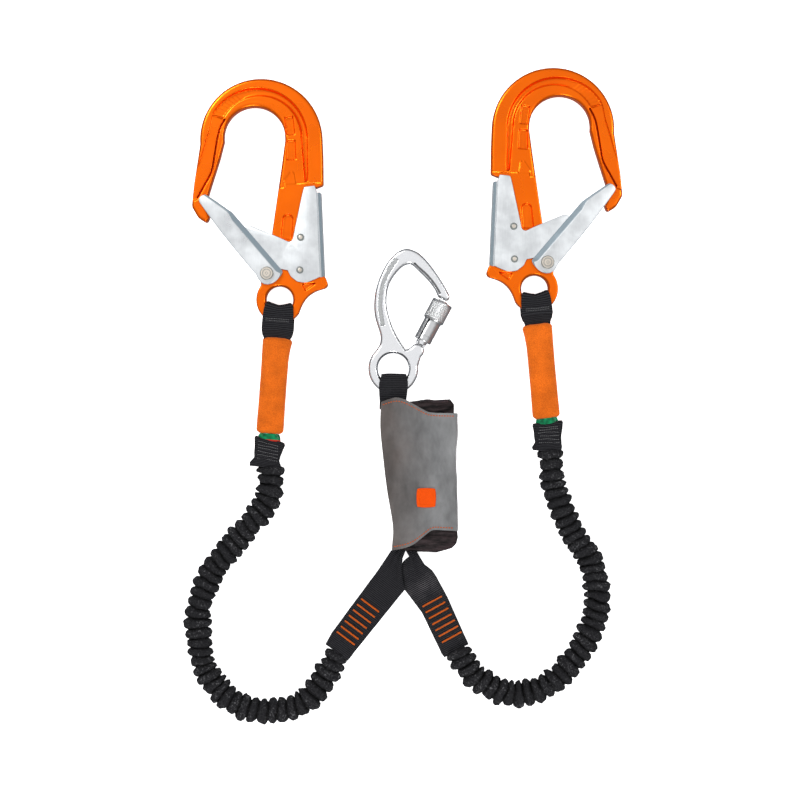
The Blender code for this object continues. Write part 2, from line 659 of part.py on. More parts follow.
def make_pack(root):
    """Cover, pouch, folded tear webbing, closure strips and the loops of the absorber pack."""
    back = finish(flat_curve("cover_back", COVER_OUTLINE, 0.0, SHEET), "grey_cloth", root)
    boolean(back, block("spine_wall", (31.9, -52.0, 0.4), (33.4, 58.0, FLAP_HINGE[1] - 2.4)), "UNION")
    pouch = flat_curve("absorber_pouch", rounded(POUCH_OUTLINE), SHEET + GAP, 24.6)
    finish(pouch, "dark_cloth", root)
    soften(pouch, 3.0, 2)
    boolean(pouch, block("pouch_hollow", (-21.0, -64.0, 5.6), (22.0, 90.0, 21.4)))
    finish(block("closure_loop_strip", (-33.4, 0.0, 24.9), (-22.0, 62.0, 26.0)), "dark_cloth", root)

    hinge_x, hinge_z = FLAP_HINGE
    flap = pivot("cover_flap_pivot", hinge_x, 0.0, hinge_z, 0, root)
    top = PACK_T - 0.2
    front = flat_curve("cover_front", COVER_OUTLINE, top - SHEET, top)
    finish(front, "grey_cloth", flap, in_world(flap))
    hook_strip = block("closure_hook_strip", (-33.4, 0.0, 26.3), (-22.0, 62.0, top - SHEET - GAP))
    finish(hook_strip, "dark_cloth", flap, in_world(flap))
    patch = flat_curve("cover_patch", rounded([(-6.0, -31.0, 3), (12.0, -31.0, 3), (12.0, -13.0, 3),
                                               (-6.0, -13.0, 3)]), top + GAP, top + GAP + 0.6)
    finish(patch, "orange_thread", flap, in_world(flap))

    loop = rounded([(-31.5, -77.5), (-24.5, -77.5), (-22.5, -91.0, 2), (-12.0, -93.0, 2), (-13.5, -77.8),
                    (-6.5, -77.8), (-3.5, -98.5, 3), (-27.5, -98.5, 3)])
    finish(flat_curve("absorber_end_loop", loop, 8.4, 10.8), "black_webbing", root)


def folded_strip(folds, pitch, half, near, far, first):
    """Outline in the YZ plane of webbing folded to and fro, one layer above another."""
    line = []
    for i in range(folds):
        level = first + pitch * i
        ends = (near, far) if i % 2 == 0 else (far, near)
        line += [Vector((ends[0], level)), Vector((ends[1], level))]
    sides = ([], [])
    for i, here in enumerate(line):
        normals = []
        for a, b in ((i - 1, i), (i, i + 1)):
            if a >= 0 and b < len(line):
                along = (line[b] - line[a]).normalized()
                normals.append(Vector((-along.y, along.x)))
        shift = half * sum(normals, Vector((0, 0)))
        sides[0].append(here + shift)
        sides[1].append(here - shift)
    return sides[0] + sides[1][::-1]


def make_tear_webbing(root):
    """The tear webbing, folded to and fro inside the pouch."""
    half_width = 19.0
    section = folded_strip(5, 3.1, 1.1, -60.0, 56.0, 7.3)
    bm = bmesh.new()
    ends = [[bm.verts.new(Vector((x, y, z)) * MM) for y, z in section] for x in (-half_width, half_width)]
    bm.faces.new(ends[0][::-1])
    bm.faces.new(ends[1])
    count = len(section)
    for k in range(count):
        bm.faces.new((ends[0][k], ends[0][(k + 1) % count], ends[1][(k + 1) % count], ends[1][k]))
    bmesh.ops.recalc_face_normals(bm, faces=bm.faces)
    finish(mesh_object("tear_webbing", bm), "black_webbing", root)


# ---------------------------------------------------------------- carabiner
def carabiner_outline():
    """Outline of the forged carabiner body, open on the gate side."""
    rx, ry = RING_C
    px, py = CAR_PIVOT
    outer = [(26.3, 172.3), (27.2, 175.0), (26.2, 180.0), (21.8, 188.1), (15.5, 198.2), (7.9, 209.0),
             (0.3, 217.8), (-7.3, 223.5), (-16.8, 226.1), (-25.1, 222.9), (-30.8, 217.8), (-37.1, 209.6),
             (-43.4, 196.9), (-47.6, 183.0), (-48.9, 169.1), (-47.9, 157.7), (-44.7, 146.9), (-42.5, 139.0),
             (-43.0, 131.1), (-46.6, 124.7)]
    ring = arc(rx, ry, RING_R, 146, 366, 12)
    lug = arc(px, py, LUG_R, -55, 120, 7)
    inner = [(-13.6, 126.6), (-17.5, 125.4), (-23.8, 134.9), (-29.5, 145.6), (-33.9, 157.7), (-36.5, 170.3),
             (-35.8, 183.0), (-32.7, 193.1), (-26.3, 202.6), (-19.4, 209.0), (-13.7, 210.9), (-10.0, 209.4),
             (-3.5, 203.3), (5.3, 194.4), (12.0, 185.5), (15.2, 178.0)]
    return outer + ring + lug + inner


def make_carabiner(root):
    """Top strap and the twist-lock carabiner."""
    fold_y, fold_z = STRAP_FOLD
    rx, ry = RING_C
    strap = pivot("strap_fold_pivot", rx, fold_y, fold_z, 0, root)
    top = CARABINER_HALF + GAP + 0.4 + WEB_T / 2
    track = [(fold_y + 0.6, top, STRAP_HALF), (ry - 11, top + 0.1, STRAP_HALF), (ry - 8.8, top - 0.3, 11.0),
             (ry - 7.9, top - 3.0, 11.0), (ry - 7.9, 3.0 - top, 11.0), (ry - 8.8, 0.3 - top, 11.0),
             (ry - 11, -0.1 - top, STRAP_HALF), (fold_y + 0.6, -top, STRAP_HALF)]
    place = in_world(strap) @ Matrix.Translation(Vector((rx, 0, MID)) * MM)
    eye_loop("top_strap", track, "black_webbing", strap, place)

    swing = pivot("carabiner_pivot", rx, ry, MID, 0, strap)
    lift = in_world(swing) @ Matrix.Translation(Vector((0, 0, MID)) * MM)
    body = finish(flat_curve("carabiner_body", carabiner_outline(), -CARABINER_HALF, CARABINER_HALF),
                  "alloy", swing, lift)
    boolean(body, disc("ring_cut", rx, ry, RING_HOLE_R, -CUT_REACH, CUT_REACH, 28))
    gate_frame = pivot("carabiner_gate_pivot", *CAR_PIVOT, MID, CAR_GATE_ANGLE - 90, swing)
    slot = in_world(swing) @ world_of(gate_frame)
    fork = block("fork_cut", (-20, -9.5, -3.4), (20, 12, 3.4))
    fork.matrix_basis = body.matrix_basis.inverted() @ slot
    boolean(body, fork)
    boolean(body, disc("gate_pin_cut", *CAR_PIVOT, PIN_BORE_R, -CUT_REACH, CUT_REACH, 14))
    pin = turned("carabiner_gate_pin", [(0, 5.9), (1.9, 5.9), (1.9, -5.9), (0, -5.9)], 14)
    finish(pin, "alloy", swing, in_world(swing) @ Matrix.Translation(Vector((*CAR_PIVOT, MID)) * MM))

    along = Matrix.Rotation(math.radians(-90), 4, "X")
    gate = turned("carabiner_gate", [(0, 56.4), (4.6, 56.4), (BARREL_R, 55.0), (BARREL_R, 8.6), (4.6, 7.6),
                                     (0, 7.6)], 18)
    finish(gate, "alloy", gate_frame, along)
    boolean(gate, block("knuckle", (-6.0, -2.9, -6.5), (6.0, 2.9, 12.0)), "UNION")
    bore = disc("gate_bore", 0, 0, 2.7, 14.0, 60.0, 14)
    boolean(gate, bore)
    hole = disc("knuckle_hole", 0, 0, PIN_BORE_R, -CUT_REACH, CUT_REACH, 14)
    hole.matrix_basis = along.inverted() @ hole.matrix_basis
    boolean(gate, hole)
    pusher = turned("carabiner_push_pin", [(0, 24.0), (2.3, 24.0), (2.3, 14.4), (0, 14.4)], 12)
    finish(pusher, "alloy", gate_frame, along)
    coil("carabiner_gate_spring", 1.8, 0.4, 25.0, 38.0, 5, gate_frame, along)

    slide = pivot("lock_sleeve_slide", *CAR_PIVOT, MID, CAR_GATE_ANGLE - 90, gate_frame)
    ring = turned("sleeve_guide_ring", [(7.3, 49.0), (7.3, 37.0), (5.8, 37.0), (5.8, 49.0), (7.3, 49.0)], 18)
    finish(ring, "alloy", slide, along)
    coil("lock_sleeve_spring", 6.7, 0.45, 15.0, 33.0, 4, gate_frame, along)
    sleeve = turned("lock_sleeve", [(10.0, 55.0), (SLEEVE_R, 54.0), (SLEEVE_R, 35.0), (8.75, 34.0),
                                    (8.75, 11.5), (7.6, 11.5), (7.6, 55.0), (10.0, 55.0)], 24)
    finish(sleeve, "alloy", slide, along)


# ---------------------------------------------------------------- assembly
pack_root = pivot("absorber_root", 0, 0, 0)
make_pack(pack_root)
make_tear_webbing(pack_root)
make_carabiner(pack_root)
for side_dimensions in (LEFT, RIGHT):
    make_leg(side_dimensions, pack_root)

for piece in parts.objects:
    if piece.type == "MESH":
        piece.data.shade_smooth()
        piece.data.set_sharp_from_angle(angle=math.radians(35))
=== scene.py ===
"""Looks of the twin-leg shock absorbing lanyard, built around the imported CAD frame."""
import json
import math
import random

import bmesh
import bpy
from mathutils import Matrix, Vector, noise


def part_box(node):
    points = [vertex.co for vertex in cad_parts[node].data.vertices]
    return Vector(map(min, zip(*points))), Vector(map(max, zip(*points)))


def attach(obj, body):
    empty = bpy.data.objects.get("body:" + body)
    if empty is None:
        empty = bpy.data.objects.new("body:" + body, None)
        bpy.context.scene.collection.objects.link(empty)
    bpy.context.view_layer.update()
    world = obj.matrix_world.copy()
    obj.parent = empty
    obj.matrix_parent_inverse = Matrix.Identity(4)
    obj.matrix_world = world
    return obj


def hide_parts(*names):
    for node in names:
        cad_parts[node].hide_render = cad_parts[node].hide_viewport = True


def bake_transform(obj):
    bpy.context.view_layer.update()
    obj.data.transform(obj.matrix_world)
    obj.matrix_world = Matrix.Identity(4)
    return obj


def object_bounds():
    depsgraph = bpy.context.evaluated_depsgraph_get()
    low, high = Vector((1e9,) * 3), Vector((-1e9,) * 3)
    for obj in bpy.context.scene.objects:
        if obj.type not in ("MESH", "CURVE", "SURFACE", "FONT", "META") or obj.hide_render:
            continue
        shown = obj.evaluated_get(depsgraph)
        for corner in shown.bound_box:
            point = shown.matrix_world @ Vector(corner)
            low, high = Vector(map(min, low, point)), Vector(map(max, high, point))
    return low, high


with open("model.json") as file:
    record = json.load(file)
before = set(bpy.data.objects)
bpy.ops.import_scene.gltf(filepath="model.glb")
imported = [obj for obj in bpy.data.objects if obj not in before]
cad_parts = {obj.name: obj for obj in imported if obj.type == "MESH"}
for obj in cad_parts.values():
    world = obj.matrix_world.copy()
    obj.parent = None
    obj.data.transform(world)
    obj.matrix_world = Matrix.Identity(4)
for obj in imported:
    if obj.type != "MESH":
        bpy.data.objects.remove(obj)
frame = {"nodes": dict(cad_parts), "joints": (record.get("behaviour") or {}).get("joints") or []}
CAD_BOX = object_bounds()
MM = 0.001
JOINTS = {j["name"]: j for j in frame["joints"]}
MID = JOINTS["carabiner_swing"]["pos_m"][2] / MM        # height of the common middle plane
HAND = {"left": 1, "right": -1}


# ---------------------------------------------------------------- places taken from the frame
def spot(name):
    """A joint's point in millimetres."""
    return Vector(JOINTS[name]["pos_m"]) / MM


def planar(x, y, z, angle=0.0, hand=1):
    """Local millimetres to world metres: turned about Z, with x mirrored for the right-hand side."""
    turn = Matrix.Rotation(math.radians(angle), 4, "Z")
    return Matrix.Scale(MM, 4) @ Matrix.Translation((x, y, z)) @ turn @ Matrix.Diagonal((hand, 1, 1, 1))


def hook_place(side):
    """Frame of a hook: eye at the origin, crown at +Y, nose at -X."""
    eye = spot(f"{side}_hook_swing")
    return planar(eye.x, eye.y, MID, HAND[side] * 2.5, HAND[side])


def grip_place(side):
    """Frame of a grip: splice at the origin, hook eye at +Y; returns it with the length."""
    splice = spot(f"{side}_grip_lift")
    along = spot(f"{side}_hook_swing") - splice
    angle = math.degrees(math.atan2(along.y, along.x)) - 90
    return planar(splice.x, splice.y, MID, angle, HAND[side]), along.xy.length


# ---------------------------------------------------------------- outlines
def arc(cx, cy, radius, start, end, steps):
    """Points of a circular arc, from start to end degrees."""
    points = []
    for i in range(steps + 1):
        a = math.radians(start + (end - start) * i / steps)
        points.append((cx + radius * math.cos(a), cy + radius * math.sin(a)))
    return points


def rounded(corners, step=10.0):
    """A closed outline from corners (x, y) or (x, y, radius); a radius becomes an arc."""
    outline = []
    count = len(corners)
    for i, corner in enumerate(corners):
        here = Vector(corner[:2])
        radius = corner[2] if len(corner) > 2 else 0.0
        if radius == 0.0:
            outline.append(tuple(here))
            continue
        back = (Vector(corners[i - 1][:2]) - here).normalized()
        ahead = (Vector(corners[(i + 1) % count][:2]) - here).normalized()
        half = back.angle(ahead) / 2
        reach = radius / math.tan(half)
        centre = here + (back + ahead).normalized() * (radius / math.sin(half))
        first = here + back * reach - centre
        turn = first.angle_signed(here + ahead * reach - centre)
        pieces = max(1, round(abs(math.degrees(turn)) / step))
        for k in range(pieces + 1):
            spun = Matrix.Rotation(-turn * k / pieces, 2) @ first
            outline.append(tuple(centre + spun))
    return outline


def smooth_line(knots, per_span=12):
    """A smooth open curve through the knots (Catmull-Rom), as vectors."""
    knots = [Vector(k) for k in knots]
    padded = [knots[0] * 2 - knots[1], *knots, knots[-1] * 2 - knots[-2]]
    points = []
    for i in range(1, len(padded) - 2):
        p0, p1, p2, p3 = padded[i - 1:i + 3]
        for k in range(per_span):
            t = k / per_span
            points.append(0.5 * (2 * p1 + (p2 - p0) * t + (2 * p0 - 5 * p1 + 4 * p2 - p3) * t * t
                                 + (3 * p1 - p0 - 3 * p2 + p3) * t ** 3))
    points.append(knots[-1])
    return points


def band(knots, half, per_span=5):
    """Outline of a strip of even width along a smooth line."""
    line = smooth_line(knots, per_span)
    one, two = [], []
    for i, here in enumerate(line):
        along = (line[min(i + 1, len(line) - 1)] - line[max(i - 1, 0)]).normalized()
        across = Vector((-along.y, along.x)) * half
        one.append(tuple(here + across))
        two.append(tuple(here - across))
    return one + two[::-1]


class Track:
    """A path that can be asked for its point and direction at a distance along it."""

    def __init__(self, points):
        self.points = points
        self.marks = [0.0]
        for a, b in zip(points, points[1:]):
            self.marks.append(self.marks[-1] + (b - a).length)
        self.length = self.marks[-1]

    def at(self, distance):
        """(point, unit tangent) at a distance, held to the path's ends."""
        distance = min(max(distance, 0.0), self.length - 1e-6)
        low, high = 0, len(self.marks) - 1
        while high - low > 1:
            middle = (low + high) // 2
            if self.marks[middle] <= distance:
                low = middle
            else:
                high = middle
        span = self.marks[low + 1] - self.marks[low]
        share = (distance - self.marks[low]) / span
        before = self.points[max(low - 1, 0)]
        after = self.points[min(low + 2, len(self.points) - 1)]
        here = self.points[low].lerp(self.points[low + 1], share)
        return here, (after - before).normalized()


# ---------------------------------------------------------------- mesh helpers
def mesh_object(name, bm, normals=True):
    """Links a new object made from a bmesh, which is freed."""
    if normals:
        bmesh.ops.recalc_face_normals(bm, faces=bm.faces)
    mesh = bpy.data.meshes.new(name)
    bm.to_mesh(mesh)
    bm.free()
    obj = bpy.data.objects.new(name, mesh)
    bpy.context.scene.collection.objects.link(obj)
    return obj


def settle(obj):
    """Applies every modifier and returns the object."""
    depsgraph = bpy.context.evaluated_depsgraph_get()
    mesh = bpy.data.meshes.new_from_object(obj.evaluated_get(depsgraph))
    obj.modifiers.clear()
    old = obj.data
    obj.data = mesh
    bpy.data.meshes.remove(old)
    return obj


def slab(name, outline, low, high, edge=0.0, steps=3):
    """A filled outline from z = low to high with its edges rounded by edge, in local millimetres."""
    curve = bpy.data.curves.new(name, "CURVE")
    curve.dimensions = "2D"
    curve.fill_mode = "BOTH"
    curve.extrude = (high - low) / 2 - edge
    curve.bevel_depth = edge
    curve.offset = -edge
    curve.bevel_resolution = steps
    spline = curve.splines.new("POLY")
    spline.points.add(len(outline) - 1)
    for point, (x, y) in zip(spline.points, outline):
        point.co = (x, y, 0.0, 1.0)
    spline.use_cyclic_u = True
    guide = bpy.data.objects.new(name + "_guide", curve)
    bpy.context.scene.collection.objects.link(guide)
    bpy.context.view_layer.update()
    mesh = bpy.data.meshes.new_from_object(guide.evaluated_get(bpy.context.evaluated_depsgraph_get()))
    bpy.data.objects.remove(guide, do_unlink=True)
    bpy.data.curves.remove(curve)
    bm = bmesh.new()
    bm.from_mesh(mesh)
    bpy.data.meshes.remove(mesh)
    bmesh.ops.remove_doubles(bm, verts=bm.verts, dist=0.001)
    bmesh.ops.translate(bm, verts=bm.verts, vec=(0, 0, (high + low) / 2))
    return mesh_object(name, bm)


def lathe(name, profile, steps=32):
    """A turned closed shape about Z from (radius, z) pairs that start and end on the axis or close up."""
    bm = bmesh.new()
    closed = profile[0][0] > 0
    rings = []
    for radius, z in profile:
        if radius == 0:
            rings.append([bm.verts.new((0, 0, z))])
            continue
        rings.append([bm.verts.new((radius * math.cos(math.tau * k / steps),
                                    radius * math.sin(math.tau * k / steps), z)) for k in range(steps)])
    pairs = list(zip(rings, rings[1:]))
    if closed:
        pairs.append((rings[-1], rings[0]))
    for one, two in pairs:
        for k in range(steps):
            j = (k + 1) % steps
            if len(one) == 1:
                bm.faces.new((one[0], two[j], two[k]))
            elif len(two) == 1:
                bm.faces.new((one[k], one[j], two[0]))
            else:
                bm.faces.new((one[k], one[j], two[j], two[k]))
    return mesh_object(name, bm)


def box(name, low, high):
    """A box between two corners, used for cuts and unions."""
    bm = bmesh.new()
    size = Vector(high) - Vector(low)
    centre = (Vector(high) + Vector(low)) / 2
    bmesh.ops.create_cube(bm, size=1.0, matrix=Matrix.Translation(centre) @ Matrix.Diagonal((*size, 1)))
    return mesh_object(name, bm)


def combine(obj, tools, operation="DIFFERENCE"):
    """Cuts or joins other meshes one by one, then removes them."""
    for tool in tools:
        modifier = obj.modifiers.new("cut", "BOOLEAN")
        modifier.object = tool
        modifier.operation = operation
        modifier.solver = "MANIFOLD"
        settle(obj)
        bpy.data.objects.remove(tool, do_unlink=True)
    return obj


def forge(obj, voxel, passes, factor=0.5):
    """Remeshes a rough solid finely and smooths it, which rounds all its edges like a forging."""
    remesh = obj.modifiers.new("remesh", "REMESH")
    remesh.mode = "VOXEL"
    remesh.voxel_size = voxel
    smooth = obj.modifiers.new("smooth", "SMOOTH")
    smooth.factor = factor
    smooth.iterations = passes
    return settle(obj)


def thin_out(obj, ratio):
    """Fewer triangles where the surface is flat."""
    decimate = obj.modifiers.new("thin", "DECIMATE")
    decimate.ratio = ratio
    return settle(obj)


def grid_skin(name, sections, closed=True, caps=True):
    """A skin through sections of equal point count; closed joins each section's ends.
    Its UV map is in metres: across each section, and along the middle of the skin."""
    bm = bmesh.new()
    rings = [[bm.verts.new(p) for p in section] for section in sections]
    count = len(rings[0])
    last = count if closed else count - 1
    layer = bm.loops.layers.uv.new("cloth")
    along = 0.0
    widest = max(sections, key=lambda points: (Vector(points[0]) - Vector(points[count // 2])).length)
    across = [0.0]
    for k in range(count):
        across.append(across[-1] + (Vector(widest[(k + 1) % count]) - Vector(widest[k])).length)
    for one, two in zip(rings, rings[1:]):
        step = sum((b.co - a.co).length for a, b in zip(one, two)) / count
        for k in range(last):
            face = bm.faces.new((one[k], one[(k + 1) % count], two[(k + 1) % count], two[k]))
            corners = ((k, along), (k + 1, along), (k + 1, along + step), (k, along + step))
            for loop, (column, row) in zip(face.loops, corners):
                loop[layer].uv = (across[column] * MM, row * MM)
        along += step
    if caps and closed:
        for ring, order in ((rings[0], -1), (rings[-1], 1)):
            middle = bm.verts.new(sum((v.co for v in ring), Vector()) / count)
            for k in range(count):
                pair = (ring[k], ring[(k + 1) % count])
                bm.faces.new((*pair[::order], middle))
    return mesh_object(name, bm)


def place(obj, matrix, mat, body=None, nodes=(), angle=40.0):
    """Puts a piece in the world, gives it its material and body, and hides the CAD nodes it stands for."""
    obj.data.transform(matrix)
    if matrix.determinant() < 0:
        obj.data.flip_normals()
    obj.data.materials.clear()
    obj.data.materials.append(mat)
    obj.data.shade_smooth()
    if angle is not None:
        obj.data.set_sharp_from_angle(angle=math.radians(angle))
    if body is not None:
        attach(obj, body)
    if nodes:
        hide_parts(*nodes)
    return obj


def copy_of(obj, name):
    """A second object with its own copy of the mesh."""
    twin = bpy.data.objects.new(name, obj.data.copy())
    bpy.context.scene.collection.objects.link(twin)
    return twin


# ---------------------------------------------------------------- materials
class Surface:
    """A Principled material with short helpers for its nodes."""

    def __init__(self, name, colour, roughness, metallic=0.0, **inputs):
        self.material = bpy.data.materials.new(name)
        self.material.use_nodes = True
        self.nodes = self.material.node_tree.nodes
        self.links = self.material.node_tree.links
        self.shader = self.nodes["Principled BSDF"]
        self.shader.inputs["Base Color"].default_value = (*colour, 1.0)
        self.shader.inputs["Roughness"].default_value = roughness
        self.shader.inputs["Metallic"].default_value = metallic
        for key, value in inputs.items():
            self.shader.inputs[key.replace("_", " ")].default_value = value

    def node(self, kind, settings=None, **sockets):
        """A node; a socket may be given a value or another node's output."""
        made = self.nodes.new(kind)
        for key, value in (settings or {}).items():
            setattr(made, key, value)
        for key, value in sockets.items():
            target = made.inputs[int(key[1:])] if key[0] == "i" and key[1:].isdigit() else made.inputs[key]
            if isinstance(value, bpy.types.NodeSocket):
                self.links.new(value, target)
            else:
                target.default_value = value
        return made

    def place(self, stretch=(1, 1, 1), uv=False, turn=0.0):
        """Texture coordinates in metres, from the mesh or its UV map, scaled by stretch."""
        coordinate = self.nodes.new("ShaderNodeTexCoord")
        source = coordinate.outputs["UV" if uv else "Object"]
        mapping = self.node("ShaderNodeMapping", i0=source)
        mapping.inputs["Scale"].default_value = stretch
        mapping.inputs["Rotation"].default_value = (0, 0, turn)
        return mapping.outputs[0]

    def noise(self, where, scale, detail=3.0, rough=0.5):
        """Noise value between 0 and 1."""
        return self.node("ShaderNodeTexNoise", Vector=where, Scale=scale, Detail=detail,
                         Roughness=rough).outputs["Fac"]

    def wave(self, where, period, direction="X", distortion=0.0):
        """Straight bands, one to each period in metres."""
        settings = {"wave_type": "BANDS", "bands_direction": direction}
        return self.node("ShaderNodeTexWave", settings, Vector=where, Scale=math.tau / 20 / period,
                         Distortion=distortion).outputs["Fac"]

    def ramp(self, value, low, high, start=0.0, end=1.0):
        """A colour between low and high as value goes from start to end."""
        ramp = self.node("ShaderNodeValToRGB", Fac=value)
        ramp.color_ramp.elements[0].position = start
        ramp.color_ramp.elements[1].position = end
        ramp.color_ramp.elements[0].color = (*low, 1.0)
        ramp.color_ramp.elements[1].color = (*high, 1.0)
        return ramp.outputs["Color"]

    def spread(self, value, low, high, start=0.0, end=1.0):
        """A number between low and high as value goes from start to end."""
        made = self.node("ShaderNodeMapRange", i0=value, i1=start, i2=end, i3=low, i4=high)
        return made.outputs[0]

    def math(self, operation, one, two=0.0):
        """One arithmetic step."""
        return self.node("ShaderNodeMath", {"operation": operation}, i0=one, i1=two).outputs[0]

    def mix(self, factor, one, two, blend="MIX"):
        """Two colours mixed."""
        made = self.node("ShaderNodeMixRGB", {"blend_type": blend}, i0=factor)
        for index, value in ((1, one), (2, two)):
            if isinstance(value, bpy.types.NodeSocket):
                self.links.new(value, made.inputs[index])
            else:
                made.inputs[index].default_value = (*value, 1.0)
        return made.outputs[0]

    def set(self, socket, value):
        """Feeds one of the shader's sockets."""
        self.links.new(value, self.shader.inputs[socket])

    def bump(self, layers):
        """Bump from (height, depth in metres) layers, one on top of another."""
        normal = None
        for height, depth in layers:
            made = self.node("ShaderNodeBump", Height=height, Distance=depth, Strength=1.0)
            if normal is not None:
                self.links.new(normal, made.inputs["Normal"])
            normal = made.outputs["Normal"]
        self.set("Normal", normal)


def orange_paint():
    """Glossy orange coating with painted shade darkening its hollows, and a faint orange peel."""
    s = Surface("orange_paint", (0.90, 0.14, 0.001), 0.27, 0.8, Coat_Weight=0.04, Coat_Roughness=0.08,
                Specular_IOR_Level=0.3)
    where = s.place()
    # painted shade: the ambient occlusion below, through the depth ramp, darkens the paint colour in recesses and
    # inside corners
    hollow = s.node("ShaderNodeAmbientOcclusion", {"samples": 16}, Distance=0.0028).outputs["AO"]
    patches = s.noise(where, 22.0, 3.0)
    paint = s.ramp(patches, (0.90, 0.135, 0.0), (0.98, 0.158, 0.0), 0.3, 0.7)
    depth = s.ramp(hollow, (0.34, 0.10, 0.02), (1.0, 1.0, 1.0), 0.3, 0.72)
    s.set("Base Color", s.mix(1.0, paint, depth, "MULTIPLY"))
    s.set("Roughness", s.spread(s.noise(where, 40.0, 3.0), 0.24, 0.34, 0.3, 0.7))
    s.bump([(s.noise(where, 500.0, 2.0), 0.000004)])
    return s.material


def zinc_steel(name="zinc_steel", tint=(0.73, 0.755, 0.765), roughness=0.36):
    """Zinc-plated sheet: pale, faintly blue, with rolling marks and small dull patches, and painted shade on its
    sloped bends.
    """
    s = Surface(name, tint, roughness, 0.85)
    where = s.place()
    grain = s.noise(s.place((1.0, 0.06, 1.0), turn=0.35), 1400.0, 4.0, 0.7)
    patches = s.noise(where, 55.0, 5.0, 0.6)
    darker = tuple(c * 0.86 for c in tint)
    lighter = tuple(min(1.0, c * 1.1) for c in tint)
    plate = s.mix(0.35, s.ramp(patches, darker, lighter, 0.35, 0.65), s.ramp(grain, darker, lighter, 0.3, 0.7))
    # painted shade: faces that slope between flat and upright (bends, bevels, the gate's sloped flank) get a dark,
    # less metallic and less specular colour
    normal = s.node("ShaderNodeSeparateXYZ", i0=s.node("ShaderNodeTexCoord").outputs["Normal"]).outputs[2]
    upright = s.math("ABSOLUTE", normal)
    bend = s.math("MULTIPLY", s.spread(upright, 1.0, 0.0, 0.935, 0.988), s.spread(upright, 0.0, 1.0, 0.15, 0.45))
    s.set("Base Color", s.mix(bend, plate, tuple(c * f for c, f in zip(tint, (0.30, 0.36, 0.40)))))
    s.set("Metallic", s.spread(bend, 0.85, 0.05))
    s.set("Specular IOR Level", s.spread(bend, 0.5, 0.1))
    s.set("Roughness", s.spread(patches, roughness - 0.1, roughness + 0.12, 0.3, 0.7))
    s.bump([(grain, 0.000012), (patches, 0.00004)])
    return s.material


def alloy(name="polished_alloy", roughness=0.24, tint=(0.93, 0.94, 0.95), grain=0.0):
    """Tumbled and polished aluminium, with painted shade darkening its hollows; grain adds a stippled texture."""
    s = Surface(name, tint, roughness, 1.0)
    where = s.place()
    fine = s.noise(where, 700.0, 4.0, 0.6)
    # painted shade: ambient occlusion darkens the base colour in hollows such as the eye's bore and the knurl's
    # grooves
    hollow = s.node("ShaderNodeAmbientOcclusion", {"samples": 16}, Distance=0.002).outputs["AO"]
    dark = tuple(c * 0.22 for c in tint)
    s.set("Base Color", s.ramp(hollow, dark, tint, 0.35, 0.85))
    s.set("Roughness", s.spread(fine, roughness - 0.06, roughness + 0.08, 0.3, 0.7))
    s.bump([(fine, 0.000012 + 0.0002 * grain), (s.noise(where, 120.0, 3.0), 0.00005)])
    return s.material


def webbing(name="black_webbing", rib=0.0018, light=0.05, band=None):
    """Black webbing: ribs across its length, a fine twill on them and a little lint; band is a
    stretch of its length that is rubbed pale."""
    s = Surface(name, (0.012, 0.012, 0.014), 0.85, Specular_IOR_Level=0.2)
    where = s.place(uv=True)
    ribs = s.wave(where, rib, "Y", 0.9)
    twill = s.wave(s.place((1, 0.7, 1), uv=True, turn=0.5), 0.0006, "X", 0.8)
    fuzz = s.noise(s.place(), 1300.0, 4.0, 0.7)
    wear = s.noise(s.place(), 60.0, 4.0, 0.6)
    thread = s.ramp(ribs, (0.002, 0.002, 0.003), (0.022, 0.022, 0.026), 0.2, 0.95)
    lint = s.ramp(fuzz, (0.0, 0.0, 0.0), (light, light, light), 0.56, 0.78)
    cloth = s.mix(s.spread(wear, 0.25, 1.0, 0.35, 0.65), thread, lint, "ADD")
    if band is not None:
        along = s.node("ShaderNodeSeparateXYZ", i0=where).outputs[1]
        middle = (band[0] + band[1]) / 2
        inside = s.math("MULTIPLY", s.spread(along, 0.0, 1.0, band[0], middle),
                        s.spread(along, 1.0, 0.0, middle, band[1]))
        rubbed = s.math("MULTIPLY", inside, s.math("MULTIPLY", s.spread(ribs, 0.0, 1.0, 0.35, 0.9),
                                                     s.spread(wear, 0.1, 1.0, 0.40, 0.62)))
        cloth = s.mix(rubbed, cloth, (0.085, 0.08, 0.085))
    s.set("Base Color", cloth)
    s.set("Roughness", s.spread(ribs, 0.9, 0.7))
    s.bump([(ribs, 0.0003), (twill, 0.0001), (fuzz, 0.0001)])
    return s.material


def elastic_cloth():
    """Gathered black woven cover: crinkled cloth with a soft sheen on its folds, painted shade in the gaps between its
    gathers and painted light on their open tops.
    """
    s = Surface("elastic_cloth", (0.007, 0.007, 0.008), 0.85, Specular_IOR_Level=0.2)
    crinkle = s.noise(s.place((1.0, 1.6, 1), uv=True), 420.0, 5.0, 0.65)
    weave = s.wave(s.place(uv=True, turn=0.25), 0.0011, "X", 1.5)
    fuzz = s.noise(s.place(), 480.0, 5.0, 0.75)
    worn = s.noise(s.place(), 60.0, 3.0, 0.6)
    base = s.ramp(crinkle, (0.002, 0.002, 0.003), (0.016, 0.016, 0.018), 0.35, 0.75)
    lint = s.ramp(fuzz, (0.0, 0.0, 0.0), (0.15, 0.15, 0.155), 0.53, 0.70)
    # painted shade and light: ambient occlusion darkens the gaps between gathers and lifts the open tops above the
    # cloth's own colour (multiplier up to 1.35)
    hollow = s.node("ShaderNodeAmbientOcclusion", {"samples": 8}, Distance=0.006).outputs["AO"]
    cloth = s.mix(s.spread(worn, 0.1, 1.0, 0.42, 0.68), base, lint, "ADD")
    s.set("Base Color", s.mix(1.0, cloth, s.ramp(hollow, (0.02, 0.02, 0.02), (1.35, 1.35, 1.35), 0.42, 0.95), "MULTIPLY"))
    s.set("Roughness", s.spread(crinkle, 0.78, 0.55, 0.3, 0.7))
    s.bump([(crinkle, 0.0011), (weave, 0.00025), (fuzz, 0.0002)])
    return s.material


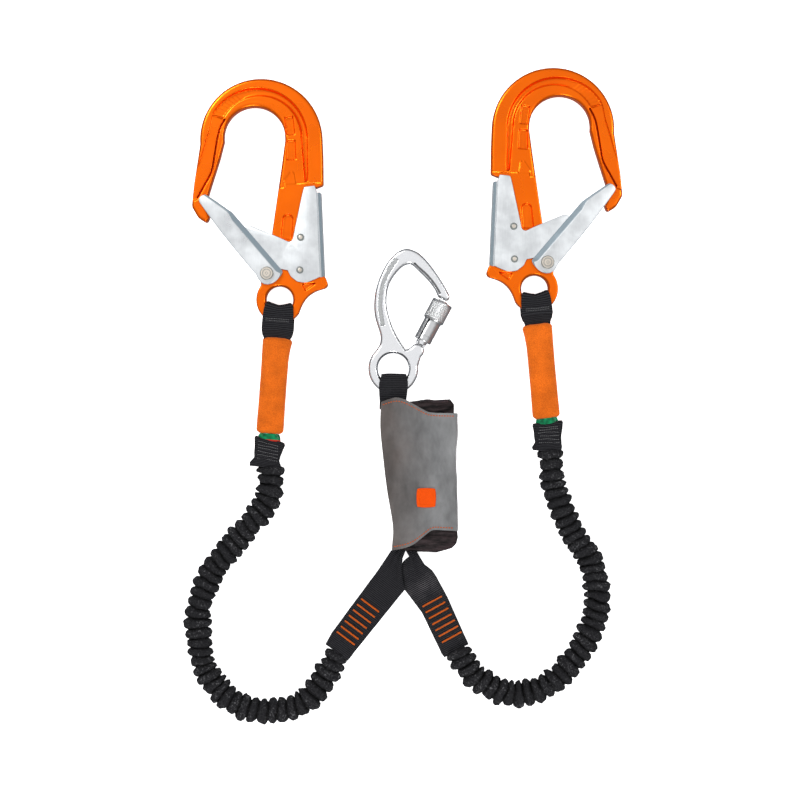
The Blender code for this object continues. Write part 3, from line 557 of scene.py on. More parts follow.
def felt():
    """Orange napped sleeve."""
    s = Surface("sleeve_cloth", (0.78, 0.17, 0.02), 0.95, Sheen_Weight=0.08, Specular_IOR_Level=0.1)
    nap = s.noise(s.place(), 1100.0, 5.0, 0.7)
    weave = s.wave(s.place(uv=True), 0.0016, "Y", 3.0)
    blotch = s.noise(s.place(), 70.0, 3.0)
    fibres = s.ramp(nap, (0.50, 0.080, 0.004), (0.88, 0.185, 0.012), 0.3, 0.72)
    tone = s.ramp(blotch, (0.78, 0.78, 0.78), (1.08, 1.08, 1.08), 0.3, 0.7)
    s.set("Base Color", s.mix(1.0, fibres, tone, "MULTIPLY"))
    s.bump([(weave, 0.00008), (nap, 0.0003)])
    return s.material


def tag_film():
    """Shiny green film with a narrow red strip at its lower edge."""
    s = Surface("tag_green", (0.01, 0.25, 0.09), 0.3, Coat_Weight=0.12, Coat_Roughness=0.12,
                Specular_IOR_Level=0.12)
    along = s.node("ShaderNodeSeparateXYZ", i0=s.place(uv=True)).outputs[1]
    crumple = s.noise(s.place(), 220.0, 3.0)
    green = s.ramp(crumple, (0.0, 0.07, 0.028), (0.0, 0.24, 0.085), 0.35, 0.65)
    red = s.math("LESS_THAN", along, 0.0016)
    s.set("Base Color", s.mix(red, green, (0.42, 0.02, 0.01)))
    s.bump([(crumple, 0.0009)])
    return s.material


def grey_cloth():
    """Grey plain weave, warmer on the left and cooler on the right, with painted light and shade in long diagonal
    streaks.
    """
    s = Surface("grey_cloth", (0.18, 0.18, 0.175), 0.85, Sheen_Weight=0.2, Sheen_Roughness=0.5)
    where = s.place()
    across = s.wave(where, 0.0009, "X", 0.4)
    along = s.wave(where, 0.0009, "Y", 0.4)
    weave = s.math("MULTIPLY", across, along)
    x = s.node("ShaderNodeSeparateXYZ", i0=where).outputs[0]
    side = s.spread(s.math("ADD", x, s.spread(s.noise(where, 30.0, 3.0), -0.02, 0.02)), 0.0, 1.0, -0.035, 0.015)
    tone = s.ramp(side, (0.094, 0.079, 0.073), (0.215, 0.218, 0.220))
    # painted light and shade: long diagonal streaks make the cloth lighter and darker, standing for the shading of its
    # creases
    painted_streak_noise = s.noise(s.place((1.0, 0.45, 1.0), turn=0.75), 42.0, 4.0, 0.6)
    painted_crease_shading = s.ramp(painted_streak_noise, (0.62, 0.62, 0.62), (1.30, 1.30, 1.30), 0.32, 0.68)
    cloth = s.mix(1.0, tone, painted_crease_shading, "MULTIPLY")
    s.set("Base Color", s.mix(0.5, cloth, s.ramp(weave, (0.75, 0.75, 0.75), (1.2, 1.2, 1.2)), "MULTIPLY"))
    s.bump([(weave, 0.00022), (s.noise(where, 700.0, 3.0), 0.00008)])
    return s.material


def dark_cloth():
    """Dark brown-black coated cloth of the pouch, with painted light and shade on its folds."""
    s = Surface("dark_cloth", (0.012, 0.008, 0.009), 0.5, Specular_IOR_Level=0.16)
    where = s.place()
    weave = s.math("MULTIPLY", s.wave(where, 0.0008, "X", 0.3), s.wave(where, 0.0008, "Y", 0.3))
    folds = s.noise(s.place((0.8, 3.4, 1), turn=0.12), 62.0, 4.0, 0.62)
    # painted light and shade: the stretched fold noise makes the colour darker and lighter, standing for the shading
    # of folds
    s.set("Base Color", s.ramp(folds, (0.002, 0.0014, 0.0015), (0.052, 0.034, 0.036), 0.38, 0.72))
    s.set("Roughness", s.spread(folds, 0.65, 0.42, 0.3, 0.7))
    s.bump([(folds, 0.0012), (weave, 0.00012)])
    return s.material


def thread(name, colour):
    """Twisted sewing thread, packed side by side."""
    s = Surface(name, colour, 0.8, Specular_IOR_Level=0.15)
    strands = s.wave(s.place(turn=0.6), 0.0007, "X", 1.0)
    fuzz = s.noise(s.place(), 1500.0, 3.0)
    darker = tuple(c * 0.6 for c in colour)
    s.set("Base Color", s.mix(0.4, s.ramp(strands, darker, colour, 0.1, 0.8), s.ramp(fuzz, darker, colour)))
    s.bump([(strands, 0.00015), (fuzz, 0.00006)])
    return s.material


MATERIALS = {
    "orange_paint": orange_paint(),
    "zinc_steel": zinc_steel(),
    "rivet_steel": zinc_steel("rivet_steel", (0.66, 0.60, 0.52), 0.33),
    "spring_steel": zinc_steel("spring_steel", (0.30, 0.30, 0.32), 0.35),
    "polished_alloy": alloy(),
    "sleeve_alloy": alloy("sleeve_alloy", 0.34, (0.66, 0.67, 0.67)),
    "grained_alloy": alloy("grained_alloy", 0.5, (0.42, 0.43, 0.43), 2.0),
    "black_webbing": webbing(),
    "worn_webbing": webbing("worn_webbing", light=0.12, band=(0.032, 0.060)),
    "elastic_cloth": elastic_cloth(),
    "sleeve_cloth": felt(),
    "tag_green": tag_film(),
    "orange_thread": thread("orange_thread", (0.62, 0.115, 0.012)),
    "seam_thread": thread("seam_thread", (0.58, 0.13, 0.04)),
    "mark_thread": thread("mark_thread", (1.0, 0.095, 0.0)),
    "grey_thread": thread("grey_thread", (0.16, 0.16, 0.165)),
    "grey_cloth": grey_cloth(),
    "dark_cloth": dark_cloth(),
}


# ---------------------------------------------------------------- scaffold hooks
def hook_shape():
    """The forged hook in local millimetres: rounded rims, recessed web, pockets and the eye."""
    ring = arc(0, 0, 23.5, 140, 316, 23)
    underside = smooth_line([(18.6, -14.0), (21.2, -7.8), (25.3, -1.2), (30.4, 3.6), (36.5, 6.9), (43.5, 8.9)], 3)
    wing = rounded([(44.5, 9.2), (49.8, 10.3, 4.2), (46.4, 21.6, 4.2), (30.5, 23.6, 4),
                    (36.0, 30.0, 3), (36.0, 108.0, 3), (48.6, 112.0, 2.5), (49.5, 140.0)])
    crown = arc(-11.5, 160, 61.0, 0, 180, 36)
    nose = rounded([(-72.5, 158), (-80.5, 118.0, 60), (-83.6, 96.5, 7), (-77.5, 85.0, 8), (-69.0, 79.3, 2.4),
                    (-66.0, 86.0, 4), (-68.5, 98.0, 8), (-66.3, 108.0, 12), (-53.5, 143.0, 60), (-48.4, 160)])
    throat = arc(-18, 163, 30.4, 178, -4, 24)
    lower = rounded([(12.3, 158), (8.2, 135.0, 90), (-5.6, 62.0, 8), (-20.0, 52.0, 8), (-19.2, 38.0)])
    outline = ring + [tuple(p) for p in underside] + wing + crown + nose + throat + lower
    body = slab("hook", outline, -8.0, 8.0, 3.0, 3)
    right_recess = [(33.3, 116.5), (34.2, 150), (34.8, 163), (28.4, 163), (30.2, 116.5)]
    arm_recess = [(-59.1, 186.7), (-63.4, 169.9), (-68.9, 154.7), (-73.4, 141.3), (-78.5, 128.5), (-90, 118),
                  (-90, 101), (-78.0, 102.8), (-69.7, 117.0), (-62.3, 130.2), (-58.7, 145.5), (-53.3, 169.5),
                  (-47.6, 182.0)]
    step_line = band([(-77.6, 104.5), (-69.7, 117.5), (-62.3, 130.2), (-58.7, 145.5), (-53.3, 169.5),
                      (-46.4, 182.6)], 0.85)
    inner_ridge = band([Vector(p) for p in arc(-17.5, 162.5, 36.6, 12, 150, 9)], 0.4)
    crown_end = 112
    upper_pocket = rounded([(14.2, 163.6, 1), (22.4, 163.6, 1), (21.2, 182.5, 1), (12.4, 181.0, 1)])
    lower_pocket = rounded([(12.9, 138.5, 1), (22.4, 138.5, 1), (22.4, 158.2, 1), (14.2, 158.2, 1)])
    slot = rounded([(3.5, 60.0, 1), (14.5, 60.0, 1), (17.4, 84.5, 4.8), (7.2, 84.5, 4.8)])
    triangle = rounded([(25.8, 7.6, 0.9), (38.5, 15.4, 0.9), (22.8, 14.8, 0.9)])
    step = rounded([(9.0, 118.0), (19.5, 132.0, 3), (22.0, 110.0), (17.5, 92.0, 3)])
    cuts = [lathe("eye", [(0, 20), (20, 20), (16.2, 8.0), (14.0, 5.2), (13.3, 2.5), (13.3, -2.5), (14.0, -5.2),
                          (16.2, -8.0), (20, -20), (0, -20)], 48)]
    for top in (1, -1):
        for shape, floor in ((right_recess, 2.8), (arm_recess, 6.0), (step_line, 3.2), (inner_ridge, 7.0),
                             (upper_pocket, 3.6), (lower_pocket, 3.6), (slot, 2.8), (triangle, 3.6), (step, 7.2)):
            cuts.append(slab("recess", shape, *sorted((top * floor, top * 12.0))))
        crown = arc(-15.5, 161.5, 50.3, -4, crown_end, 24) + arc(-12.5, 163, 40.7, crown_end, -4, 24)
        cuts.append(slab("crown", crown, *sorted((top * 2.6, top * 16.0)), 2.4, 4))
        for k in range(8):
            near = crown_end - 3 + 5 * k
            piece = arc(-15.5, 161.5, 50.3, near, near + 6, 3) + arc(-12.5, 163, 40.7, near + 6, near, 3)
            cuts.append(slab("run_out", piece, *sorted((top * (2.8 + 0.42 * k), top * 12.0))))
        low = sorted((top * 6.8, top * 12.0))
        cuts.append(box("blade", (-60, -40, low[0]), (60, 111.0, low[1])))
        cuts.append(box("blade_top", (10, 105, low[0]), (60, 114.6, low[1])))
    combine(body, cuts)
    forge(body, 0.62, 3, 0.45)
    return thin_out(body, 0.55)


def between(value, knots):
    """Straight-line interpolation through (position, result) knots."""
    if value <= knots[0][0]:
        return knots[0][1]
    for (a, one), (b, two) in zip(knots, knots[1:]):
        if value <= b:
            return one + (two - one) * (value - a) / (b - a)
    return knots[-1][1]


def gate_shape():
    """The folded gate along +X from its pivot, in local millimetres; -Y is its throat side."""
    outer = ((-11.6, -1.5), (-11.0, 2.5), (-9.2, 6.2), (-6.5, 8.8), (-3.5, 10.0), (0, 10.2), (3.0, 9.7),
             (5.6, 8.9), (7.0, 8.7), (12, 8.9), (40, 8.5), (60, 7.8), (83, 6.2), (98, 4.8), (100.0, 3.7), (100.8, 1.0))
    inner = ((-11.6, -2.5), (-11.3, -6), (-10.6, -9.6), (-9.2, -12.6), (-8.0, -13.4), (68.7, -13.4),
             (80, -10.5), (92, -7.2), (98.4, -5.3), (100.0, -4.2), (100.8, -1.6))
    stations = [-11.6, -11.3, -11.0, -10.6, -9.9, -9.2, -8.6, -8.0, -6.5, -5, -3.5, -1.5, 0, 1.5, 3, 4.2, 5.6, 7]
    stations += [9.5 + 3.5 * i for i in range(26)] + [99, 99.6, 100.2, 100.8]
    plates = []
    for top in (1, -1):
        sections = []
        for u in stations:
            high = between(u, outer)
            low = between(u, inner)
            span = max(high - low, 0.02)
            drop = min(1.0, span / 12)
            profile = [(high, 9.5), (high, 10.9), (high - 0.25 * drop, 11.3), (high - 0.8 * drop, 11.5)]
            bend = between(u, ((-11, 2.0), (-4, 5.4), (62, 5.4), (72, 3.0), (100, 2.0))) * drop
            fall = between(u, ((-11, 0.8), (-6, 2.2), (66, 2.2), (71, 1.0), (100, 0.7)))
            for share in (1.35, 1.12, 1.0, 0.88, 0.7, 0.5, 0.3, 0.12, 0.03):
                slope = fall * min(1.0, max(0.0, 1.06 - share)) ** 1.15
                profile.append((low + share * bend, 11.5 - slope - 0.3 * max(0.0, 0.1 - share)))
            profile.append((low, 9.1))
            profile.append((low + 1.5 * drop, 9.1))
            profile.append((low + bend, 9.5))
            sections.append([(u, v, top * z) for v, z in profile])
        plates.append(grid_skin("plate", sections))
    web = slab("web", rounded([(62, -13.3), (68.7, -13.3), (80, -10.4), (92, -7.1, 1), (92, -5.2), (80, -8.4),
                               (68.7, -11.3), (64, -11.3, 1)]), -9.0, 9.0)
    gate = combine(plates[0], [plates[1], web], "UNION")
    return gate


def lever_shape():
    """The Y-shaped safety lever folded from sheet, in hook millimetres."""
    outline = rounded([(41.6, 21.0, 1), (41.6, 106.0, 1), (40.0, 111.9, 1.5), (29.4, 111.0, 2), (27.2, 104.0, 8),
                       (14.7, 55.4, 4), (3.0, 61.5, 7), (-24.5, 74.5, 2), (-31.0, 74.5, 2), (-30.0, 68.0, 3),
                       (-1.0, 31.0, 2), (9.4, 28.8, 1.2), (12.1, 22.5, 5), (18.5, 17.0, 6), (27.1, 15.4, 9),
                       (36.5, 18.8, 7)])
    plates = [slab("plate", outline, *sorted((top * 7.2, top * 9.0)), 0.35, 2) for top in (1, -1)]
    half = [(40.9, 6.2), (40.9, 8.9), (41.5, 8.9), (41.6, 6.9), (42.6, 6.9), (42.8, 7.7), (44.2, 6.7),
            (45.5, 4.6), (46.2, 2.2), (46.3, 0.8)]
    outside = half + [(x, -z) for x, z in half[::-1]]
    hollow = [(x, z) for x, z in arc(41.9, 3.0, 2.6, 0, 82, 6)]
    inside = [(x, -z) for x, z in hollow[::-1]] + hollow
    ring = outside + inside
    sections = []
    for y, pull in ((20.6, 1.2), (21.2, 0.4), (22.4, 0.0), (50, 0), (80, 0), (103.4, 0.0), (104.4, 0.4),
                    (105.0, 1.2)):
        sections.append([(min(x, 46.35 - pull), y, z) for x, z in ring])
    web = grid_skin("web", sections, caps=False)
    bm = bmesh.new()
    bm.from_mesh(web.data)
    bmesh.ops.holes_fill(bm, edges=bm.edges, sides=0)
    bmesh.ops.recalc_face_normals(bm, faces=bm.faces)
    bm.to_mesh(web.data)
    bm.free()
    return combine(web, plates, "UNION")


def make_hook(side, forging, gate, lever):
    """Dresses one hook from the shared shapes."""
    hook = hook_place(side)
    pivot = spot(f"{side}_gate_open")
    stop_bolt = Vector((23.7, 61.0))
    to_local = hook.inverted()
    gate_at = to_local @ (pivot * MM)
    lever_at = to_local @ (spot(f"{side}_lever_squeeze") * MM)

    body = place(copy_of(forging, f"{side}_hook_forging"), hook, MATERIALS["orange_paint"], f"{side}_hook",
                 (f"{side}_hook_body",), None)
    turn = Matrix.Translation((gate_at.x, gate_at.y, 0)) @ Matrix.Rotation(math.radians(128.1), 4, "Z")
    place(copy_of(gate, f"{side}_gate_channel"), hook @ turn, MATERIALS["zinc_steel"], f"{side}_gate",
          (f"{side}_hook_gate",), 38)
    place(copy_of(lever, f"{side}_lever_channel"), hook, MATERIALS["zinc_steel"], f"{side}_lever",
          (f"{side}_safety_lever",), 38)

    head = [(0, 14.5), (1.1, 14.5), (1.4, 14.8), (3.5, 14.85), (3.8, 14.6), (4.1, 14.6), (4.4, 14.9),
            (5.8, 14.9), (6.4, 14.5), (6.7, 13.8), (6.7, 12.0), (3.0, 11.8)]
    mirrored = [(r, -z) for r, z in head[::-1]]
    rivet = lathe(f"{side}_gate_rivet_heads", head + mirrored, 40)
    place(rivet, hook @ Matrix.Translation((gate_at.x, gate_at.y, 0)), MATERIALS["rivet_steel"],
          f"{side}_hook", (f"{side}_gate_rivet",), 30)
    small = [(0, 10.9), (1.6, 10.85), (2.8, 10.5), (3.4, 9.9), (3.6, 9.3), (2.5, 9.2)]
    mirrored = [(r, -z) for r, z in small[::-1]]
    for word, at in (("lever_rivet", lever_at.xy), ("lever_stop_rivet", stop_bolt)):
        pin = lathe(f"{side}_{word}_heads", small + mirrored, 24)
        place(pin, hook @ Matrix.Translation((at.x, at.y, 0)), MATERIALS["rivet_steel"], f"{side}_hook",
              (f"{side}_{word}",), 30)


# ---------------------------------------------------------------- flat straps and grips
def sheet(name, surface, columns, rows, thickness, width):
    """A sheet through surface(u, v), u and v from 0 to 1, thickened evenly. Its UV map is in metres:
    across the given width in millimetres, and along its middle."""
    bm = bmesh.new()
    layer = bm.loops.layers.uv.new("cloth")
    grid = [[bm.verts.new(surface(i / columns, j / rows)) for i in range(columns + 1)] for j in range(rows + 1)]
    marks = [0.0]
    for one, two in zip(grid, grid[1:]):
        marks.append(marks[-1] + (two[columns // 2].co - one[columns // 2].co).length)
    for j in range(rows):
        for i in range(columns):
            face = bm.faces.new((grid[j][i], grid[j][i + 1], grid[j + 1][i + 1], grid[j + 1][i]))
            for loop, (a, b) in zip(face.loops, ((i, j), (i + 1, j), (i + 1, j + 1), (i, j + 1))):
                loop[layer].uv = (a / columns * width * MM, marks[b] * MM)
    obj = mesh_object(name, bm, normals=False)
    solid = obj.modifiers.new("thick", "SOLIDIFY")
    solid.thickness = thickness
    solid.offset = 0.0
    bevel = obj.modifiers.new("edge", "BEVEL")
    bevel.width = thickness * 0.3
    bevel.segments = 2
    bevel.limit_method = "ANGLE"
    bevel.angle_limit = math.radians(60)
    return settle(obj)


def stitch_row(name, points, radius, step, lift):
    """A row of stitches: short rounded bars along points, each one a small closed body."""
    track = Track(points)
    count = int(track.length / step)
    bm = bmesh.new()
    for i in range(count):
        here, along = track.at((i + 0.5) * step)
        side = Vector((-along.y, along.x, 0.0))
        rings = []
        for share, size in ((-0.42, 0.3), (-0.3, 0.85), (0.0, 1.0), (0.3, 0.85), (0.42, 0.3)):
            centre = here + along * (share * step) + Vector((0, 0, lift - (abs(share) * 2.2) ** 2 * radius))
            rings.append([bm.verts.new(centre + (side * math.cos(a) + Vector((0, 0, math.sin(a)))) * radius * size)
                          for a in (math.tau * k / 6 for k in range(6))])
        for one, two in zip(rings, rings[1:]):
            for k in range(6):
                bm.faces.new((one[k], one[(k + 1) % 6], two[(k + 1) % 6], two[k]))
        bm.faces.new(rings[0][::-1])
        bm.faces.new(rings[-1])
    return mesh_object(name, bm)


def crumple(x, y, size, seed):
    """Smooth noise between about -1 and 1 at a spacing of size."""
    return noise.noise(Vector((x / size, y / size, seed * 7.31)))


def make_grip(side):
    """Sleeve, tag, splice and the webbing through the hook eye of one leg."""
    grip, length = grip_place(side)
    body = f"{side}_grip"
    seed = 1.0 if side == "left" else 2.0
    sleeve_low, sleeve_high = (34.6, 131.0) if side == "left" else (32.8, 127.8)

    # padded sleeve: a flattened tube, pinched at its waist, with rolled ends
    sections = []
    rows = 60
    for j in range(rows + 1):
        share = j / rows
        y = sleeve_low + (sleeve_high - sleeve_low) * share
        from_end = min(y - sleeve_low, sleeve_high - y)
        end = 1 - 0.24 * max(0.0, 1 - from_end / 3.5) ** 2
        wide = between(share, ((0, 13.5), (0.08, 13.6), (0.35, 13.2), (0.76, 13.2),
                                (0.88, 14.2), (0.95, 15.5), (1, 15.2)))
        plain = between(share, ((0, 13.5), (0.08, 13.6), (0.35, 13.5), (0.6, 13.5), (0.9, 14.0), (1, 14.2)))
        height = between(share, ((0, 7.0), (0.3, 7.4), (0.8, 8.0), (1, 7.2))) * (end ** 1.6)
        ring = []
        for k in range(48):
            a = math.tau * (k + 0.5) / 48 - math.pi / 2
            c, s = math.cos(a), math.sin(a)
            x = (wide if c > 0 else plain) * end * math.copysign(abs(c) ** 0.72, c)
            z = height * math.copysign(abs(s) ** 0.62, s)
            swell = 0.35 * crumple(x + 40 * s, y, 17.0, seed)
            ring.append((x * (1 + swell * 0.03), y + 0.5 * crumple(x, 0, 9, seed) * (1 - end) * 4, z + swell))
        sections.append(ring)
    lip = [(x * 0.8, y - 0.4 + 1.2, z * 0.55) for x, y, z in sections[0]]
    top_lip = [(x * 0.86, y - 1.0, z * 0.6) for x, y, z in sections[-1]]
    sleeve = grid_skin(f"{side}_sleeve_padding", [lip, *sections, top_lip])
    place(sleeve, grip, MATERIALS["sleeve_cloth"], body, (f"{side}_grip_sleeve",), None)

    # shiny tag, crumpled, with a red strip; the right one reaches further under its splice
    tag_low = 27.2 if side == "left" else 24.8

    def tag_face(u, v):
        x = (-11.4 + 22.8 * u) * (1 - 0.2 * v ** 3)
        y = tag_low + (34.6 - tag_low) * v
        return Vector((x, y, 5.1 - 2.6 * (2 * u - 1) ** 4 + 0.45 * crumple(x, y, 4.0, seed)))
    tag = sheet(f"{side}_tag_film", tag_face, 30, 10, 0.5, 23.0)
    place(tag, grip, MATERIALS["tag_green"], body, (f"{side}_inspection_tag",), 60)

    # splice: thick sewn block with flared, frayed corners and its rows of stitches; it sits askew
    lean, foot_tilt, head_tilt = (0.10, -0.05, -0.18) if side == "left" else (-0.10, 0.14, 0.0)
    sections = []
    rows = 34
    for j in range(rows + 1):
        share = j / rows
        y = 0.4 + 28.6 * share
        flared = between(share, ((0, 14.4), (0.12, 15.6), (0.3, 12.6), (0.7, 14.2), (0.93, 15.6), (1, 14.6)))
        plain = between(share, ((0, 12.8), (0.12, 13.8), (0.5, 13.8), (0.93, 15.2), (1, 14.4)))
        height = between(share, ((0, 5.0), (0.15, 6.8), (0.5, 5.6), (0.95, 5.8), (1, 4.4)))
        ring = []
        for k in range(44):
            a = math.tau * (k + 0.5) / 44 - math.pi / 2
            c, s = math.cos(a), math.sin(a)
            half = plain if side == "right" and c < 0 else flared
            x = half * math.copysign(abs(c) ** 0.55, c)
            z = height * math.copysign(abs(s) ** 0.6, s)
            skew = lean * (y - 20) - 1.2 * max(0.0, -c) * max(0.0, 1 - share * 4)
            tilt = between(share, ((0, foot_tilt), (1, head_tilt))) * x
            ring.append((x + skew + 0.4 * crumple(y, s, 6.0, seed + 3), y + tilt + 1.0 * crumple(x, s, 9.0, seed),
                         z + 0.5 * crumple(x, y, 5.0, seed + 1) + 0.22 * math.sin(y * 2.4)))
        sections.append(ring)
    splice = grid_skin(f"{side}_splice_block", sections)
    place(splice, grip, MATERIALS["black_webbing"], body, (f"{side}_splice",), None)
    for i, y in enumerate((8.5, 12.0, 15.6, 18.8, 21.6, 24.4)):
        tilt = between(y / 29, ((0, foot_tilt), (1, head_tilt)))
        row = [Vector((-10.4 + 2.6 * k, y + tilt * (-10.4 + 2.6 * k) + 0.9 * crumple(k, y, 3.0, seed), 5.9))
               for k in range(9)]
        threads = stitch_row(f"{side}_splice_stitches_{i + 1}", row, 0.36, 1.9, 0.35)
        place(threads, grip, MATERIALS["grey_thread"], body)

    eye_webbing(side, grip, length, body, seed)


def eye_webbing(side, grip, length, body, seed):
    """Two layers of webbing that run from the sleeve round the hook eye."""
    hole = length - 7.4
    track = ((123.0, 2.6, 12.0, 0.0), (130.0, 3.4, 12.9, 0.0), (134.0, 5.4, 14.6, 0.0), (139.0, 8.3, 15.5, 0.0),
             (length - 24.0, 9.3, 15.5, 0.0), (length - 15.0, 9.7, 15.1, 0.6), (length - 10.0, 9.5, 14.2, 2.4),
             (hole + 0.2, 8.5, 12.6, 3.6), (hole + 1.1, 6.4, 10.4, 2.8), (hole + 1.2, 3.0, 9.4, 1.6),
             (hole + 1.2, 0.0, 9.2, 1.2))
    front = smooth_line([Vector(row) for row in track], 6)
    full = front + [Vector((p[0], -p[1], p[2], p[3])) for p in front[-2::-1]]
    rows = len(full) - 1

    def surface(u, v):
        y, z, half, dip = full[round(v * rows)]
        t = 2 * u - 1
        x = half * t
        top = 1 if z >= 0 else -1
        bow = 0.5 * crumple(x, y, 8.0, seed) + 0.12 * math.sin(y * 3.7)
        sag = 0.9 * (t * t) if abs(z) > 5 else 0.0
        slope = 0.8 * t * t * (1 if y < 141 else 0)
        return Vector((x, y + dip * abs(t) ** 1.25 - slope, z + top * (0.2 * bow - sag * 0.5)))

    strap = sheet(f"{side}_eye_strap", surface, 22, rows, 2.1, 30.5)
    place(strap, grip, MATERIALS["black_webbing"], body, (f"{side}_eye_webbing",), 50)
    for i, y in enumerate((length - 21.5, length - 19.5)):
        row = [Vector((-12.5 + 25.0 * k / 8, y + 0.5 * crumple(k, y, 3.0, seed), 10.4)) for k in range(9)]
        threads = stitch_row(f"{side}_eye_stitches_{i + 1}", row, 0.3, 1.7, 0.3)
        place(threads, grip, MATERIALS["grey_thread"], body)


# ---------------------------------------------------------------- elastic legs and tails
LEG_LINES = {
    "left": ((-152, 1), (-152.5, -14), (-160, -32), (-188, -68), (-211, -96), (-223, -129), (-225, -152), (-217, -196),
             (-190, -226), (-154, -236), (-119, -227), (-94, -196), (-85, -177)),
    "right": ((128, 19), (131, -12), (148, -54), (166, -84), (174, -112), (174.5, -128), (170, -149),
              (155, -178), (128, -208), (92, -219), (57, -205), (41, -187), (34, -175)),
}
STRETCH_SPAN = 58.0             # half the length that opens when a leg stretches


def leg_sections(side, step):
    """Rings of the gathered cover every step millimetres from the splice to the tail."""
    draw = random.Random(11 if side == "left" else 23)
    splice = spot(f"{side}_grip_lift")
    knots = [(LEG_LINES[side][0][0] - 0.6, splice.y + 3.0), *LEG_LINES[side]]
    track = Track(smooth_line([Vector((*knot, MID)) for knot in knots]))
    crests = [0.5]
    while crests[-1] < track.length + 12:
        crests.append(crests[-1] + draw.uniform(8.5, 10.7))
    # the gathers are spread so that one of them comes out right at the tail's end
    tail_end = spot(f"{side}_leg_bend")
    emerges = min(range(int(track.length)), key=lambda d: (track.at(d)[0].xy - tail_end.xy).length) + 1.5
    nearest = min(crests, key=lambda c: abs(c - emerges))
    spread = (emerges - crests[0]) / (nearest - crests[0])
    crests = [crests[0] + (c - crests[0]) * spread for c in crests]
    swell = [draw.uniform(0.84, 1.10) for _ in crests]
    lean = [draw.uniform(-0.09, 0.09) for _ in crests]
    sections = []
    count = round(track.length / step)
    for row in range(count + 1):
        distance = track.length * row / count
        here, along = track.at(distance)
        side_way = Vector((along.y, -along.x, 0.0))
        from_end = min(distance, track.length - distance)
        body = between(from_end, ((0, 0.95), (4, 1.0)))
        squash = between(from_end, ((0, 0.5), (9, 0.9)))
        ring = []
        for k in range(44):
            a = math.tau * k / 44
            c, s = math.cos(a), math.sin(a)
            wander = 1.7 * noise.noise(Vector((distance / 22, c * 1.1, s * 1.1 + 5)))
            slant = 0.8 + 2.2 * noise.noise(Vector((distance / 60, 3.1, 7.7 * HAND[side])))
            at = distance + wander + slant * c
            index = 0
            while index < len(crests) - 2 and crests[index + 1] + lean[index + 1] * 9 * c < at:
                index += 1
            low = crests[index] + lean[index] * 9 * c
            high = crests[index + 1] + lean[index + 1] * 9 * c
            share = min(max((at - low) / (high - low), 0.0), 1.0)
            lobe = max(0.0, 1 - abs(2 * share - 1) ** 2.7) ** 0.5
            depth = 7.6 * (0.86 + 0.4 * noise.noise(Vector((distance / 14, c * 0.9, s * 0.9))))
            fold = 0.8 * noise.noise(Vector((distance / 2.6, c * 2.4, s * 2.4)))
            fine = 0.35 * noise.noise(Vector((distance / 1.2, c * 5.5, s * 5.5)))
            radius = (6.4 + depth * lobe * swell[index] + (fold + fine) * (0.3 + lobe)) * body
            ring.append(here + side_way * (c * radius * 1.02) + Vector((0, 0, s * radius * squash)))
        sections.append(ring)
    return sections, track


def make_leg(side):
    """The gathered elastic cover in three lengths, cut above and below the span that opens when the leg stretches."""
    step = 0.9
    sections, track = leg_sections(side, step)
    split = spot(f"{side}_leg_stretch") if "pos_m" in JOINTS[f"{side}_leg_stretch"] else None
    middle_y = split.y if split else (-152.0 if side == "left" else -128.0)
    heights = [track.at(track.length * i / (len(sections) - 1))[0].y for i in range(len(sections))]
    upper_cut = next(i for i, y in enumerate(heights) if y < middle_y + STRETCH_SPAN + 4)
    lower_cut = next(i for i, y in enumerate(heights) if y < middle_y - STRETCH_SPAN - 4)
    world = Matrix.Scale(MM, 4)
    cloth = MATERIALS["elastic_cloth"]
    pieces = {}
    for word, rows in (("top", sections[:upper_cut + 1]), ("middle", sections[upper_cut:lower_cut + 1]),
                       ("bottom", sections[lower_cut:])):
        cover = grid_skin(f"{side}_elastic_{word}", rows)
        pieces[word] = place(cover, world, cloth, None, (), None)
    toward_tail = track.at(track.length)[1]
    from_splice = track.at(0.0)[1]
    centre = track.at(track.length * (upper_cut + lower_cut) / 2 / (len(sections) - 1))[0]
    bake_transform(pieces["bottom"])
    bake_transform(pieces["middle"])
    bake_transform(pieces["top"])
    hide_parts(f"{side}_elastic_cover_lower")
    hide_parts(f"{side}_elastic_cover_upper")


def tail_place(side):
    """Frame of a tail: pivot at the origin, elastic leg at +Y, its own height as z = 0; and its length."""
    pivot = spot(f"{side}_tail_swing")
    end = spot(f"{side}_leg_bend")
    run = end - pivot
    height = (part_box(f"{side}_tail")[0].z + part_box(f"{side}_tail")[1].z) / 2 / MM
    angle = math.degrees(math.atan2(run.y, run.x)) - 90
    return planar(pivot.x, pivot.y, height, angle, 1), run.xy.length


TAIL_EDGES = {                  # (distance from the pivot, offset outward) of each edge
    "left": {"outer": ((-13, 14.0), (-0.5, 17.2), (12.5, 16.8), (100, 16.6), (108, 15.2), (118, 13.2)),
             "inner": ((-13, 8.5), (-1.5, 5.2), (7.5, -0.7), (15.4, -7.9), (21.5, -15.9), (60, -14.5),
                       (108, -12.6), (118, -11.5))},
    "right": {"outer": ((-13, 9.8), (-8.9, 10.4), (10.2, 12.1), (18.5, 16.1), (26.2, 16.9), (50, 16.8),
                        (96, 13.0), (106, 11.5)),
              "inner": ((-13, 3.6), (-3.6, 4.0), (-2.2, -4.5), (2, -9.5), (8, -14.0), (21.7, -17.0), (51, -12.8),
                        (96, -15.0), (106, -13.0))},
}


